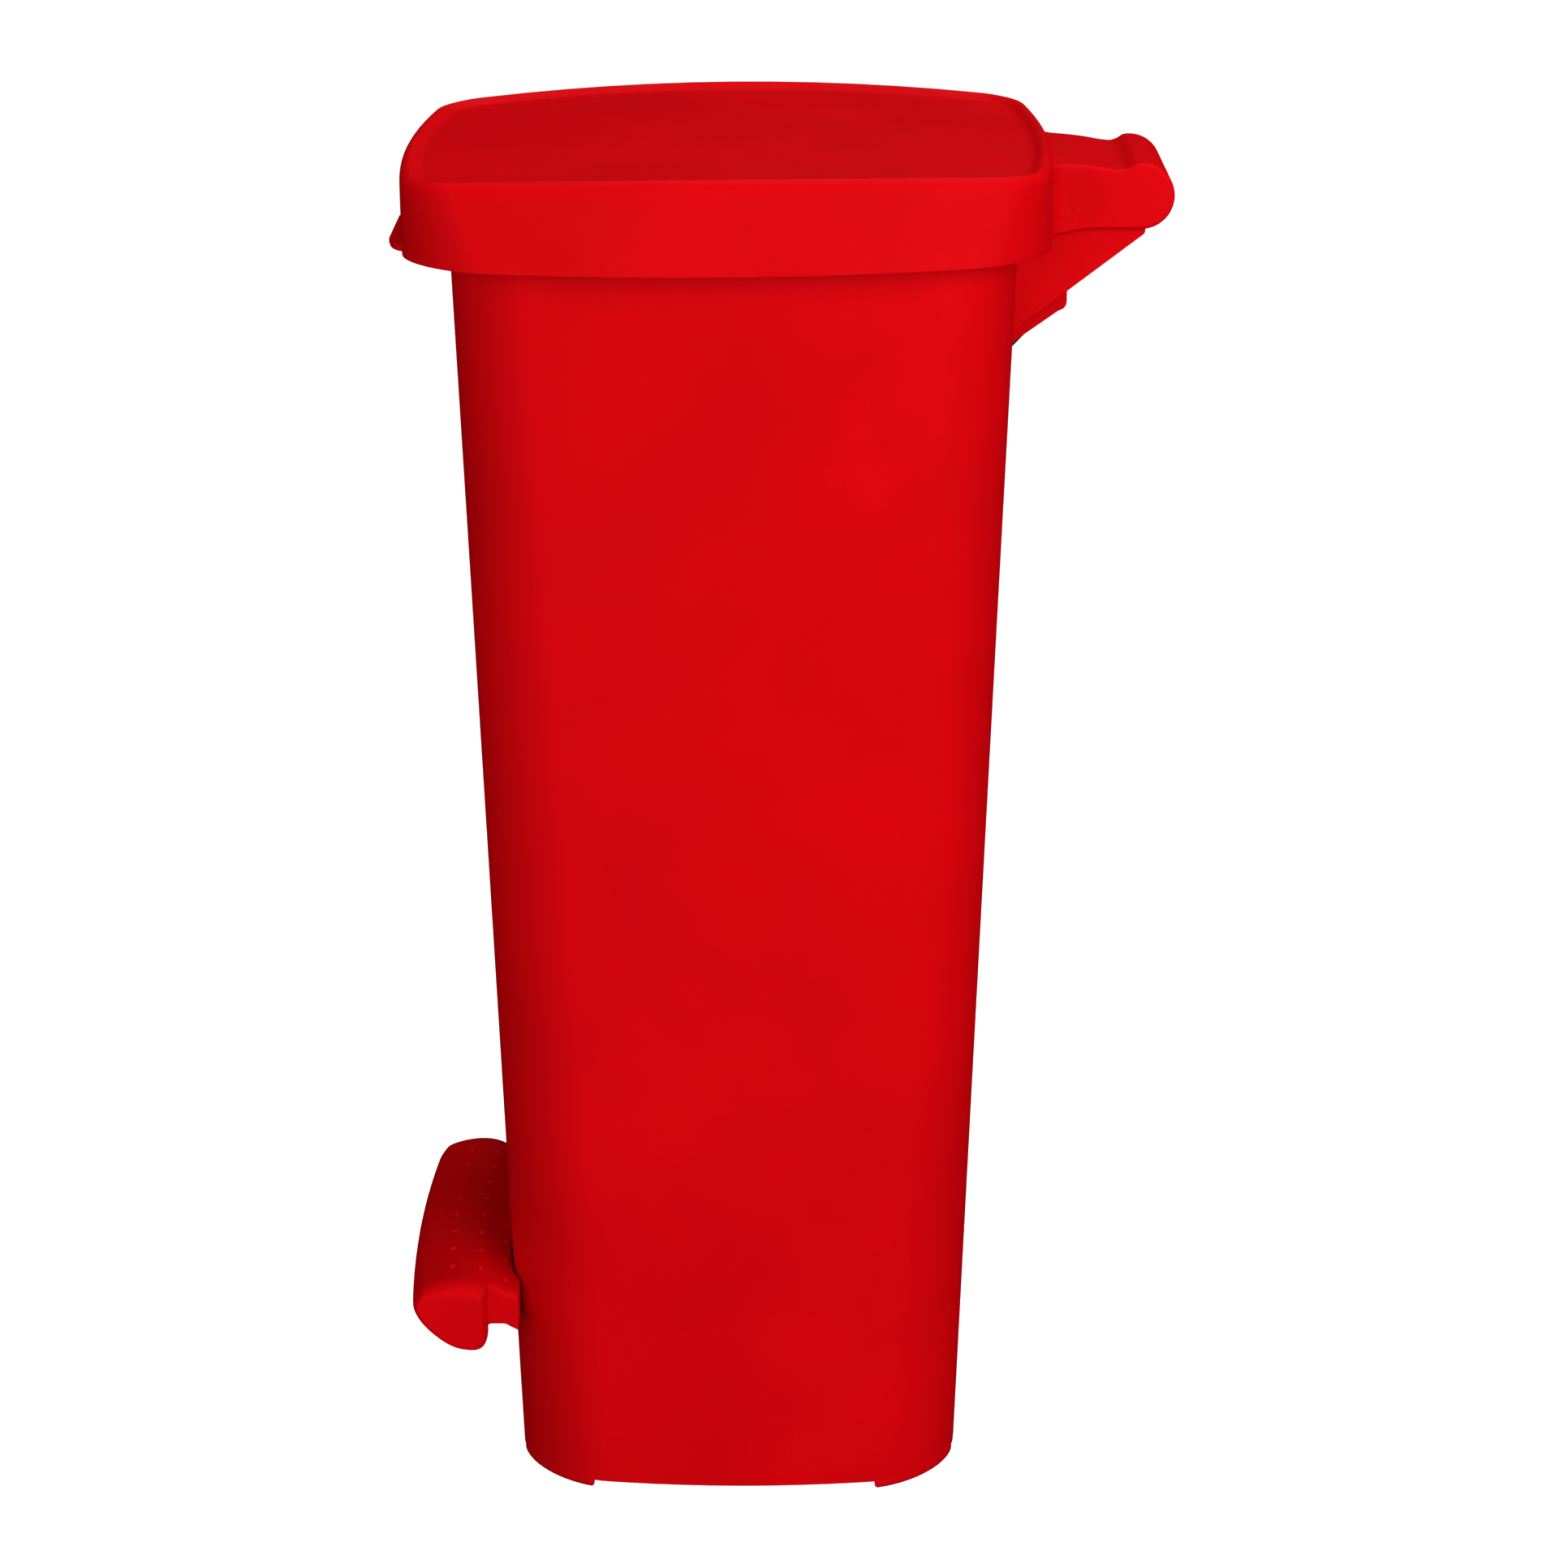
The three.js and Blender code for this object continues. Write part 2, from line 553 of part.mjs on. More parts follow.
// Pad behind the wing that carries the tread down to the body and follows its front wall.
function pedalPad(inset) {
  const reach = PAD.halfWidth - inset;
  const back = PAD.back - inset;
  const low = PAD.low - 4 * inset;
  const rings = [-1, -0.97, -0.6, -0.3, 0, 0.3, 0.6, 0.97, 1].map((place) => {
    const y = place * reach;
    const rounding = Math.abs(place) === 1 ? 3 : 0;
    const top = (x) => treadZ((x - PEDAL.front) / (PEDAL.back - PEDAL.front), y) - inset - rounding;
    return [
      point(PEDAL.back - 12 + inset, y, top(PEDAL.back)), point(PEDAL.back, y, top(PEDAL.back)),
      point(-152, y, top(-152)), point(back, y, top(back)), point(back, y, PAD.heel - 4 * inset),
      point(back - 9, y, low), point(PEDAL.back - 12 + inset, y, low),
    ];
  });
  const gap = PAD.gap + inset;
  return loft(rings).subtract(loft([bodyRing(50, -gap), bodyRing(200, -gap)]));
}

// Three rows of raised dots that follow the front edge.
function treadDots() {
  const dots = [];
  for (const row of DOT_ROWS) {
    for (let k = -4; k <= 3; k += 1) {
      const y = (k + 0.5) * DOT_PITCH;
      const x = row + PEDAL_BOW * (y / PEDAL.halfWidth) ** 2;
      const share = (x - frontEdge(y)) / (PEDAL.back - frontEdge(y));
      const dot = turned([[0, -2], [2.2, -2], [2.2, 0], [1.4, 1.2], [0, 1.2]], 8);
      dots.push(dot.translate([x, y, treadZ(share, y)]));
    }
  }
  return dots;
}

function pedalPlate() {
  let plate = pedalForm(0).add(pedalPad(0)).subtract(pedalForm(PEDAL.wall)).subtract(pedalPad(PEDAL.wall));
  for (const dot of treadDots()) {
    plate = plate.add(dot);
  }
  for (const y of PEDAL_SCREWS) {
    const boss = bar(point(SCREW_X, y, 127), point(SCREW_X, y, PEDAL.top - 3), 6, 12);
    const pilot = bar(point(SCREW_X, y, 120), point(SCREW_X, y, 139), SCREW_RADIUS + GAP, 12);
    plate = plate.add(boss).subtract(pilot);
  }
  const neckReach = NECK_HALF_WIDTH + 1;
  return plate.subtract(block(PEDAL.back - 9, PEDAL.back + 40, -neckReach, neckReach, 90, SHELF.z1 + 0.5));
}

// Lever with its shelf under the pedal plate, the broad neck through the front wall, and the rear rib.
function pedalLever() {
  const shelf = block(-203, -150, -NECK_HALF_WIDTH, NECK_HALF_WIDTH, SHELF.z0, SHELF.z1);
  const neck = prismY(roundedBox(-166, -130, 98, SHELF.z1, 6), -NECK_HALF_WIDTH, NECK_HALF_WIDTH);
  const arm = polygon([
    [-140, 98], [-140, 124], [-112, 118], [PIVOT.x, PIVOT.z + 13], [PIVOT.x + 8, PIVOT.z - 12], [-112, 92],
  ]);
  const hub = barY(PIVOT.x, PIVOT.z, -24, 24, 14);
  const { x: ex, z: ez } = rodPath()[0];
  const rib = polygon([
    [PIVOT.x - 4, PIVOT.z + 13], [PIVOT.x + 30, PIVOT.z + 7], [ex, ez + 9],
    [ex, ez - 9], [PIVOT.x + 30, PIVOT.z - 19], [PIVOT.x - 4, PIVOT.z - 13],
  ]);
  const turn = Math.atan2(ez - PIVOT.z, ex - PIVOT.x);
  const slide = [3.4 * Math.cos(turn), 3.4 * Math.sin(turn)];
  const end = (radius) => capsule(ex - slide[0], ez - slide[1], ex + slide[0], ez + slide[1], radius);
  let lever = shelf.add(neck).add(prismY(arm, -20, 20)).add(hub);
  lever = lever.add(prismY(rib, RIB.y0, RIB.y1)).add(prismY(end(9), RIB.y0, RIB.y1));
  lever = lever.subtract(prismY(end(ROD_RADIUS + 0.6), RIB.y0 - 1, RIB.y1 + 1));
  lever = lever.subtract(barY(PIVOT.x, PIVOT.z, -60, 60, AXLE_RADIUS + GAP));
  for (const y of PEDAL_SCREWS) {
    lever = lever.subtract(bar(point(SCREW_X, y, 110), point(SCREW_X, y, 130), SCREW_RADIUS + GAP, 12));
  }
  return lever;
}

function pedalScrew(y) {
  const seat = SHELF.z0 - GAP;
  const head = [[0, seat - 3.4], [3, seat - 3.2], [4.8, seat - 1.6], [4.8, seat]];
  const shank = [[SCREW_RADIUS, seat], [SCREW_RADIUS, 137], [0, 138.5]];
  return turned([...head, ...shank], 12).translate([SCREW_X, y, 0]);
}

function axleBlock(side) {
  const wall = TUNNEL.halfWidth - GAP;
  const [y0, y1] = side < 0 ? [-wall, -wall + 8] : [wall - 8, wall];
  const body = block(PIVOT.x - 20, PIVOT.x + 20, y0, y1, PIVOT.z - 24, PIVOT.z + 20);
  const bore = barY(PIVOT.x, PIVOT.z, side * (wall - 6), side * (wall - 20), AXLE_RADIUS + GAP);
  return body.subtract(bore);
}

// ---------------------------------------------------------------- push rod

// Centre line of the rod in its plane: up the channel, out through the housing, and up to the lug.
function rodPath() {
  const [topX, topZ] = liftPoint(LIFT_RADIUS);
  const lean = backX(1) - backX(0);
  const inChannel = (z) => point(backX(z) - ROD_DEPTH, 0, z);
  const jogEnd = point(topX + (ROD_JOG.high - topZ) * lean, 0, ROD_JOG.high);
  return [inChannel(ROD_FOOT_Z), inChannel(ROD_JOG.low), jogEnd, point(topX, 0, topZ)];
}

function pushRod() {
  const path = rodPath();
  const lowerLeg = point(path[0].x, LEG.lower, path[0].z);
  const upperLeg = point(path[3].x, LEG.upper, path[3].z);
  const points = [lowerLeg, ...path, upperLeg];
  let rod = bar(points[0], points[1], ROD_RADIUS, 12);
  for (let k = 1; k + 1 < points.length; k += 1) {
    const bend = new THREE.SphereGeometry(ROD_RADIUS, 12, 8).translate(points[k].x, points[k].y, points[k].z);
    rod = rod.add(solid(bend)).add(bar(points[k], points[k + 1], ROD_RADIUS, 12));
  }
  return rod;
}

// Push-on retaining ring on one of the rod's legs.
function rodClip(at, y0) {
  const disc = barY(at.x, at.z, y0, y0 + 1.6, 7.5, 16);
  return disc.subtract(barY(at.x, at.z, y0 - 1, y0 + 3, ROD_RADIUS + 0.15, 12));
}

// Block snapped into the channel that guides the rod.
function rodGuide(z) {
  const height = 24;
  const face = (at, depth) => [backX(at) - depth, at];
  const outline = polygon([
    face(z, CHANNEL.depth - GAP), face(z, 4), face(z + height, 4), face(z + height, CHANNEL.depth - GAP),
  ]);
  const half = CHANNEL.halfWidth - GAP;
  const start = point(backX(z - 10) - ROD_DEPTH, 0, z - 10);
  const end = point(backX(z + height + 10) - ROD_DEPTH, 0, z + height + 10);
  return prismY(outline, -half, half).subtract(bar(start, end, ROD_RADIUS + 0.4, 12));
}

// ---------------------------------------------------------------- assembly

const group = new THREE.Group();
group.position.x = -ORIGIN_X;

function add(name, manifold, look) {
  const result = manifold.getMesh();
  const geometry = new THREE.BufferGeometry();
  geometry.setAttribute("position", new THREE.BufferAttribute(result.vertProperties, 3));
  geometry.setIndex(new THREE.BufferAttribute(result.triVerts, 1));
  geometry.computeVertexNormals();
  const mesh = new THREE.Mesh(geometry, new THREE.MeshStandardMaterial(look));
  mesh.name = name;
  group.add(mesh);
}

const SIDES = [["left", -1], ["right", 1]];
const ENDS = [["front", -1], ["rear", 1]];

add("body_shell", bodyShell(), RED);
add("hinge_bracket", hingeBracket(), RED);
RIVETS.forEach(([y, z], k) => add(`bracket_rivet_${k + 1}`, bracketRivet(y, z), STEEL));
for (const [end, sx] of ENDS) {
  for (const [side, sy] of SIDES) {
    add(`foot_${end}_${side}`, foot(sx, sy), RED);
  }
}
for (const [side, sy] of SIDES) {
  add(`hinge_bush_${side}`, hingeBush(sy), NYLON);
  add(`pin_cap_${side}`, pinCap(sy), STEEL);
  add(`axle_block_${side}`, axleBlock(sy), NYLON);
}
add("pedal_axle", barY(PIVOT.x, PIVOT.z, -27.5, 27.5, AXLE_RADIUS), STEEL);
add("lid_shell", lidShell(), RED);
add("hinge_pin", barY(HINGE.x, HINGE.z, -52.4, 52.4, PIN_RADIUS), STEEL);
BUMPERS.forEach(([x, y], k) => add(`lid_bumper_${k + 1}`, lidBumper(x, y), RUBBER));
add("pedal_plate", pedalPlate(), RED);
add("pedal_lever", pedalLever(), RED);
PEDAL_SCREWS.forEach((y, k) => add(`pedal_screw_${k + 1}`, pedalScrew(y), STEEL));
add("push_rod", pushRod(), STEEL);
add("rod_guide_lower", rodGuide(160), NYLON);
add("rod_guide_upper", rodGuide(690), NYLON);
add("rod_clip_lower", rodClip(rodPath()[0], RIB.y1 + 0.6), STEEL);
add("rod_clip_upper", rodClip(rodPath()[3], LUG.y1 + 0.6), STEEL);

export default group;
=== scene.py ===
# Looks of the pedal-operated waste bin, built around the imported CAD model. The visible mouldings are
# rebuilt with fine curves and rounded edges from the CAD's driving dimensions. They are worked out in
# millimetres from the body's centre line, and turned into metres in the model's frame when a mesh is made.
# The pedal is at -X, the hinge at +X and the ground at Z = 0.

import json
import math

import bmesh
import bpy
from mathutils import Matrix, Vector


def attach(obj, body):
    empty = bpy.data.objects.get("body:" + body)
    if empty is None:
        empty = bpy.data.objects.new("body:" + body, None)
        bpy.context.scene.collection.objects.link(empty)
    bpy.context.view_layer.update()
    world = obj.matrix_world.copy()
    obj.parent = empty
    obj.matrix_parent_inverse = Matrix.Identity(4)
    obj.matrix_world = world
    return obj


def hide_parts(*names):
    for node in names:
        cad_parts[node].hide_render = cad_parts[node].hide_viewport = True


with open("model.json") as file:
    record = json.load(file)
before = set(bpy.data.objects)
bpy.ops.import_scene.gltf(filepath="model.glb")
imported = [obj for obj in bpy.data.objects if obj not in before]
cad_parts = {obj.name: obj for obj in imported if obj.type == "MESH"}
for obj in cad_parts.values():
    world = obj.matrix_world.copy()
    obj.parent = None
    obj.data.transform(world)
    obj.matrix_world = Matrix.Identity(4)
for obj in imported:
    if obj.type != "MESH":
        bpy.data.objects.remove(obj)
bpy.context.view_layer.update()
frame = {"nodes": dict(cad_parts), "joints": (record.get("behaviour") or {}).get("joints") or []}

# ---------------------------------------------------------------- driving dimensions

MM = 0.001
JOINTS = {joint["name"]: joint for joint in frame["joints"]}
HINGE_FROM_BODY = 249.2
BODY_X = JOINTS["lid_hinge"]["pos_m"][0] / MM - HINGE_FROM_BODY
HINGE = (HINGE_FROM_BODY, JOINTS["lid_hinge"]["pos_m"][2] / MM)
PIVOT = (JOINTS["pedal_hinge"]["pos_m"][0] / MM - BODY_X, JOINTS["pedal_hinge"]["pos_m"][2] / MM)
GAP = 0.3

BODY_WALL = 3.5
FLOOR_TOP = 13
BODY_FOOT = {"z": 6, "x": 1.6, "a": 138, "b": 111.5, "corner": 52, "front": 9, "rear": 9, "side": 15}
BODY_MOUTH = {
    "z": 826, "x": -0.3, "a": 168, "b": 148, "corner": 46, "front": 6.6, "rear": 6.6, "side": 14.4,
}
RIM_ROOT, RIM_TOP, RIM_WIDTH = 846, 862, 8
RELIEF_HALF = 18  # half width of the cut in the rear rim that clears the rod

FOOT_INNER = {"front": -93, "rear": 92, "side": 67}  # where the corner feet end along the foot ring
FOOT_OUTER = 220  # beyond the body's outline on every side

LID_SKIRT = {"x": -4.3, "a": 189, "b": 161, "corner": 46, "front": 12.2, "rear": 11.9, "side": 30.3}
LID_TOP = {"x": -5.2, "a": 190.1, "b": 150.7, "corner": 27, "front": 11, "rear": 10.9, "side": 33.4}
LID_EDGE_Z = 827.8
LID_WALL = 3
LID_CREST, LID_PANEL = 55.5, 51.3
LID_CROWN = 6.4
LID_SLOPE = 0.0125

HOOD_HALF, KNUCKLE, HOOD_ROOT, FLARE = 56, 20.37, 186, 20
PLATE_LOW, PLATE_HIGH, PLATE_DEPTH = 765, 842, 3.5
GUSSET_IN, GUSSET_OUT, GUSSET_BOSS = 45.5, 49.5, 13.5
HOUSING_HALF, HOUSING_WAY = 16, 12.5  # half widths of the rod's guide housing, outside and inside
PIN_RADIUS, BUSH_RADIUS, AXLE_RADIUS = 4, 8, 5

POCKET = {"half": 62, "height": 134, "end": -50}
TUNNEL = {"half": 34, "height": 112, "end": 175}
CASING_WALL = 3.5

ROD_RADIUS, ROD_DEPTH = 3.5, 11
CHANNEL_HALF, CHANNEL_DEPTH, CHANNEL_TOP = 9, 18, 824
ROD_FOOT_Z, JOG_LOW, JOG_HIGH = 30, 735, 772
LIFT_RADIUS, LIFT_ANGLE = 60, math.radians(30)
SLOT_PLAY = 1.5
LEG_LOWER, LEG_UPPER = 21, 17  # how far the rod's bent legs reach along Y
LUG_Y, RIB_Y = (6, 12), (6, 16)

PEDAL_HALF, PEDAL_FRONT, PEDAL_BACK = 126, -214.6, -162
PEDAL_TOP, PEDAL_LOW, PEDAL_BOW, PEDAL_ROUND, NOSE_DROP = 151.5, 102, 5, 14, 15
PAD_HALF, PAD_BACK, PAD_LOW, PAD_HEEL, PAD_GAP = 111, -142, 116, 111, 1.2
PAD_PLACES = (-157, -152, -147)  # where the pad's top is shaped between wing and body
PLASTIC_WALL = 3  # wall of the hollow pedal
DOT_ROWS, DOT_PITCH = (-188.5, -170.5, -154.5), 27.3
NECK_HALF = 56
SHELF_LOW, SHELF_HIGH = 118, 126.5
SCREW_X, SCREWS = -184, (-40, 40)
BUMPERS = [(-176.5, -75), (-176.5, 75), (174.5, -75), (174.5, 75)]
RIVETS = [(-31, 777), (31, 777), (-31, 826), (31, 826)]

CORNER_STEPS, SIDE_STEPS = 22, 12

# ---------------------------------------------------------------- mesh tools


def mesh_object(name, points, faces):
    mesh = bpy.data.meshes.new(name)
    mesh.from_pydata([((x + BODY_X) * MM, y * MM, z * MM) for x, y, z in points], [], faces)
    work = bmesh.new()
    work.from_mesh(mesh)
    bmesh.ops.remove_doubles(work, verts=work.verts, dist=1e-6)
    bmesh.ops.recalc_face_normals(work, faces=work.faces)
    work.to_mesh(mesh)
    work.free()
    piece = bpy.data.objects.new(name, mesh)
    bpy.context.scene.collection.objects.link(piece)
    return piece


def loft(name, rings):
    """Closed skin over a stack of outlines with equal point counts."""
    count = len(rings[0])
    points = [p for ring in rings for p in ring]
    faces = []
    for k in range(len(rings) - 1):
        for i in range(count):
            j = (i + 1) % count
            faces.append((k * count + i, k * count + j, (k + 1) * count + j, (k + 1) * count + i))
    for start, ring in ((0, rings[0]), ((len(rings) - 1) * count, rings[-1])):
        middle = len(points)
        points.append(tuple(sum(p[axis] for p in ring) / count for axis in range(3)))
        faces += [(middle, start + i, start + (i + 1) % count) for i in range(count)]
    return mesh_object(name, points, faces)


def prism(name, outline, axis, low, high):
    """A flat outline extruded between two places on the X, Y or Z axis."""
    count = len(outline)
    across = "xyz".index(axis)
    points = []
    for end in (low, high):
        for u, v in outline:
            place = [u, v]
            place.insert(across, end)
            points.append(place)
    faces = [tuple(range(count)), tuple(range(count, 2 * count))]
    faces += [(i, (i + 1) % count, count + (i + 1) % count, count + i) for i in range(count)]
    return mesh_object(name, points, faces)


def block(name, x0, x1, y0, y1, z0, z1):
    return prism(name, [(x0, y0), (x1, y0), (x1, y1), (x0, y1)], "z", z0, z1)


def circle(middle, side, up, radius, sides):
    turns = [2 * math.pi * i / sides for i in range(sides)]
    return [tuple(middle + (side * math.cos(t) + up * math.sin(t)) * radius) for t in turns]


def tube(name, path, radius, sides=32, flat=0.6):
    """A round bar along a path of points, with chamfered ends."""
    path = [Vector(p) for p in path]
    rings = []
    side = None
    for k, point in enumerate(path):
        ahead = path[min(k + 1, len(path) - 1)] - path[max(k - 1, 0)]
        ahead.normalize()
        side = ahead.orthogonal() if side is None else side - ahead * side.dot(ahead)
        side.normalize()
        up = ahead.cross(side)
        if k == 0:
            rings.append(circle(point, side, up, radius - flat, sides))
            rings.append(circle(point + ahead * flat, side, up, radius, sides))
        elif k == len(path) - 1:
            rings.append(circle(point - ahead * flat, side, up, radius, sides))
            rings.append(circle(point, side, up, radius - flat, sides))
        else:
            rings.append(circle(point, side, up, radius, sides))
    return loft(name, rings)


def lathe(name, profile, origin, axis, sides=48):
    """A profile of (radius, height) pairs turned about an axis, closed on the axis or on itself."""
    along = Vector(axis).normalized()
    side = along.orthogonal().normalized()
    up = along.cross(side)
    hollow = min(r for r, _ in profile) > 0
    rings = [circle(Vector(origin) + along * h, side, up, max(r, 0.001), sides) for r, h in profile]
    if not hollow:
        return loft(name, rings[1:-1] if profile[0][0] == profile[-1][0] == 0 else rings)
    count = sides
    points = [p for ring in rings for p in ring]
    faces = []
    for k in range(len(rings)):
        for i in range(count):
            j = (i + 1) % count
            n = (k + 1) % len(rings)
            faces.append((k * count + i, k * count + j, n * count + j, n * count + i))
    return mesh_object(name, points, faces)


def bake(piece):
    """Applies a piece's modifiers to its mesh."""
    graph = bpy.context.evaluated_depsgraph_get()
    made = bpy.data.meshes.new_from_object(piece.evaluated_get(graph))
    piece.modifiers.clear()
    old = piece.data
    piece.data = made
    bpy.data.meshes.remove(old)
    return piece


def combine(piece, tool, operation):
    cut = piece.modifiers.new("combine", "BOOLEAN")
    cut.operation = operation
    cut.solver = "MANIFOLD"
    cut.object = tool
    bake(piece)
    bpy.data.objects.remove(tool)
    return piece


def add(piece, *tools):
    for tool in tools:
        combine(piece, tool, "UNION")
    return piece


def cut(piece, *tools):
    for tool in tools:
        combine(piece, tool, "DIFFERENCE")
    return piece


def keep(piece, tool):
    return combine(piece, tool, "INTERSECT")


def soften(piece, width, segments=3, angle=40):
    """Rounds the edges sharper than an angle in degrees."""
    work = bmesh.new()
    work.from_mesh(piece.data)
    bmesh.ops.remove_doubles(work, verts=work.verts, dist=0.02 * MM)
    bmesh.ops.dissolve_degenerate(work, edges=work.edges, dist=0.02 * MM)
    work.to_mesh(piece.data)
    work.free()
    bevel = piece.modifiers.new("soften", "BEVEL")
    bevel.width = width * MM
    bevel.segments = segments
    bevel.limit_method = "ANGLE"
    bevel.angle_limit = math.radians(angle)
    bevel.use_clamp_overlap = False
    return bake(piece)


def smooth(piece, angle=30):
    piece.data.polygons.foreach_set("use_smooth", [True] * len(piece.data.polygons))
    piece.data.set_sharp_from_angle(angle=math.radians(angle))
    weigh = piece.modifiers.new("normals", "WEIGHTED_NORMAL")
    weigh.keep_sharp = True
    return piece


def finish_piece(piece, body, slot, material, *nodes):
    smooth(piece)
    piece.data.materials.clear()
    piece.data.materials.append(material)
    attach(piece, body)
    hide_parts(*nodes)
    return piece


def spline(t, a, b, c, d):
    """Value at t between b and c on a smooth curve through a, b, c and d."""
    square = 2 * a - 5 * b + 4 * c - d
    cube = 3 * b - a - 3 * c + d
    return 0.5 * (2 * b + (c - a) * t + square * t * t + cube * t**3)


def curve_through(points, steps):
    """Points along a smooth curve through the given ones, in any number of dimensions."""
    made = []
    for k in range(len(points) - 1):
        p0, p1 = points[max(k - 1, 0)], points[k]
        p2, p3 = points[k + 1], points[min(k + 2, len(points) - 1)]
        for i in range(steps):
            made.append(tuple(spline(i / steps, *values) for values in zip(p0, p1, p2, p3)))
    made.append(tuple(points[-1]))
    return made


def arc(u, v, radius, start, end, steps=24):
    turns = [start + (end - start) * i / steps for i in range(steps + 1)]
    return [(u + radius * math.cos(t), v + radius * math.sin(t)) for t in turns]


def rounded_box(u0, u1, v0, v1, radius, steps=10):
    quarter = math.pi / 2
    outline = arc(u1 - radius, v1 - radius, radius, 0, quarter, steps)
    outline += arc(u0 + radius, v1 - radius, radius, quarter, 2 * quarter, steps)
    outline += arc(u0 + radius, v0 + radius, radius, 2 * quarter, 3 * quarter, steps)
    outline += arc(u1 - radius, v0 + radius, radius, 3 * quarter, 4 * quarter, steps)
    return outline


def capsule(u0, v0, u1, v1, radius, steps=20):
    turn = math.atan2(v1 - v0, u1 - u0)
    quarter = math.pi / 2
    outline = arc(u1, v1, radius, turn - quarter, turn + quarter, steps)
    return outline + arc(u0, v0, radius, turn + quarter, turn + 3 * quarter, steps)


# ---------------------------------------------------------------- outlines


def plan(section, inset=0):
    """Rounded rectangle whose ends and sides bulge outwards, anticlockwise from above."""
    a, b = section["a"] - inset, section["b"] - inset
    radius = max(section["corner"] - inset, 2)
    flat = []
    for k, (sx, sy) in enumerate(((-1, -1), (1, -1), (1, 1), (-1, 1))):
        start = math.pi * (1 + k / 2)
        middle = (sx * (a - radius), sy * (b - radius))
        flat.append(arc(*middle, radius, start, start + math.pi / 2, CORNER_STEPS))
    outline = []
    for k, corner in enumerate(flat):
        u, v = corner[-1]
        nu, nv = flat[(k + 1) % 4][0]
        outline += corner
        for i in range(1, SIDE_STEPS):
            outline.append((u + (nu - u) * i / SIDE_STEPS, v + (nv - v) * i / SIDE_STEPS))
    shaped = []
    for u, v in outline:
        bulge = section["front"] if u < 0 else section["rear"]
        x = section["x"] + u * (1 + bulge / a * (1 - (v / b) ** 2))
        y = v * (1 + section["side"] / b * (1 - (u / a) ** 2))
        shaped.append((x, y))
    return shaped


def between(first, last, share):
    """A section part of the way from one to another."""
    return {key: first[key] + (last[key] - first[key]) * share for key in first}


def body_section(z):
    return between(BODY_FOOT, BODY_MOUTH, (z - BODY_FOOT["z"]) / (BODY_MOUTH["z"] - BODY_FOOT["z"]))


def body_ring(z, inset=0):
    return [(x, y, z) for x, y in plan(body_section(z), inset)]


def back_x(z):
    section = body_section(z)
    return section["x"] + section["a"] + section["rear"]


def lid_z(x, height, crown):
    fall = crown * LID_CROWN * ((x - LID_TOP["x"]) / LID_TOP["a"]) ** 2
    return LID_EDGE_Z + height + LID_SLOPE * x - fall


def lid_ring(height, inset, crown, scale=1):
    section = between(LID_SKIRT, LID_TOP, min(max(height / LID_CREST, 0), 1))
    ring = []
    for x, y in plan(section, inset):
        u = section["x"] + (x - section["x"]) * scale
        ring.append((u, y * scale, lid_z(u, height, crown)))
    return ring


# ---------------------------------------------------------------- materials


def node_material(name):
    material = bpy.data.materials.new(name)
    material.use_nodes = True
    nodes, links = material.node_tree.nodes, material.node_tree.links
    return material, nodes, links, nodes["Principled BSDF"]


def noise(nodes, links, coords, scale, detail=4, rough=0.55):
    texture = nodes.new("ShaderNodeTexNoise")
    texture.inputs["Scale"].default_value = scale
    texture.inputs["Detail"].default_value = detail
    texture.inputs["Roughness"].default_value = rough
    links.new(coords, texture.inputs["Vector"])
    return texture.outputs["Fac"]


def ramp(nodes, links, value, low, high, start, end):
    """Maps a value between two limits onto a range."""
    scale = nodes.new("ShaderNodeMapRange")
    scale.inputs["From Min"].default_value = low
    scale.inputs["From Max"].default_value = high
    scale.inputs["To Min"].default_value = start
    scale.inputs["To Max"].default_value = end
    links.new(value, scale.inputs["Value"])
    return scale.outputs["Result"]


def mix_colour(nodes, links, factor, first, second):
    mix = nodes.new("ShaderNodeMix")
    mix.data_type = "RGBA"
    links.new(factor, mix.inputs["Factor"])
    for socket, value in ((mix.inputs[6], first), (mix.inputs[7], second)):
        if isinstance(value, tuple):
            socket.default_value = (*value, 1)
        else:
            links.new(value, socket)
    return mix.outputs[2]


def maths(nodes, links, operation, first, second):
    made = nodes.new("ShaderNodeMath")
    made.operation = operation
    for socket, value in zip(made.inputs, (first, second)):
        if isinstance(value, (int, float)):
            socket.default_value = value
        else:
            links.new(value, socket)
    return made.outputs["Value"]


def bump(nodes, links, height, distance, strength, normal=None):
    made = nodes.new("ShaderNodeBump")
    made.inputs["Distance"].default_value = distance
    made.inputs["Strength"].default_value = strength
    links.new(height, made.inputs["Height"])
    if normal is not None:
        links.new(normal, made.inputs["Normal"])
    return made.outputs["Normal"]


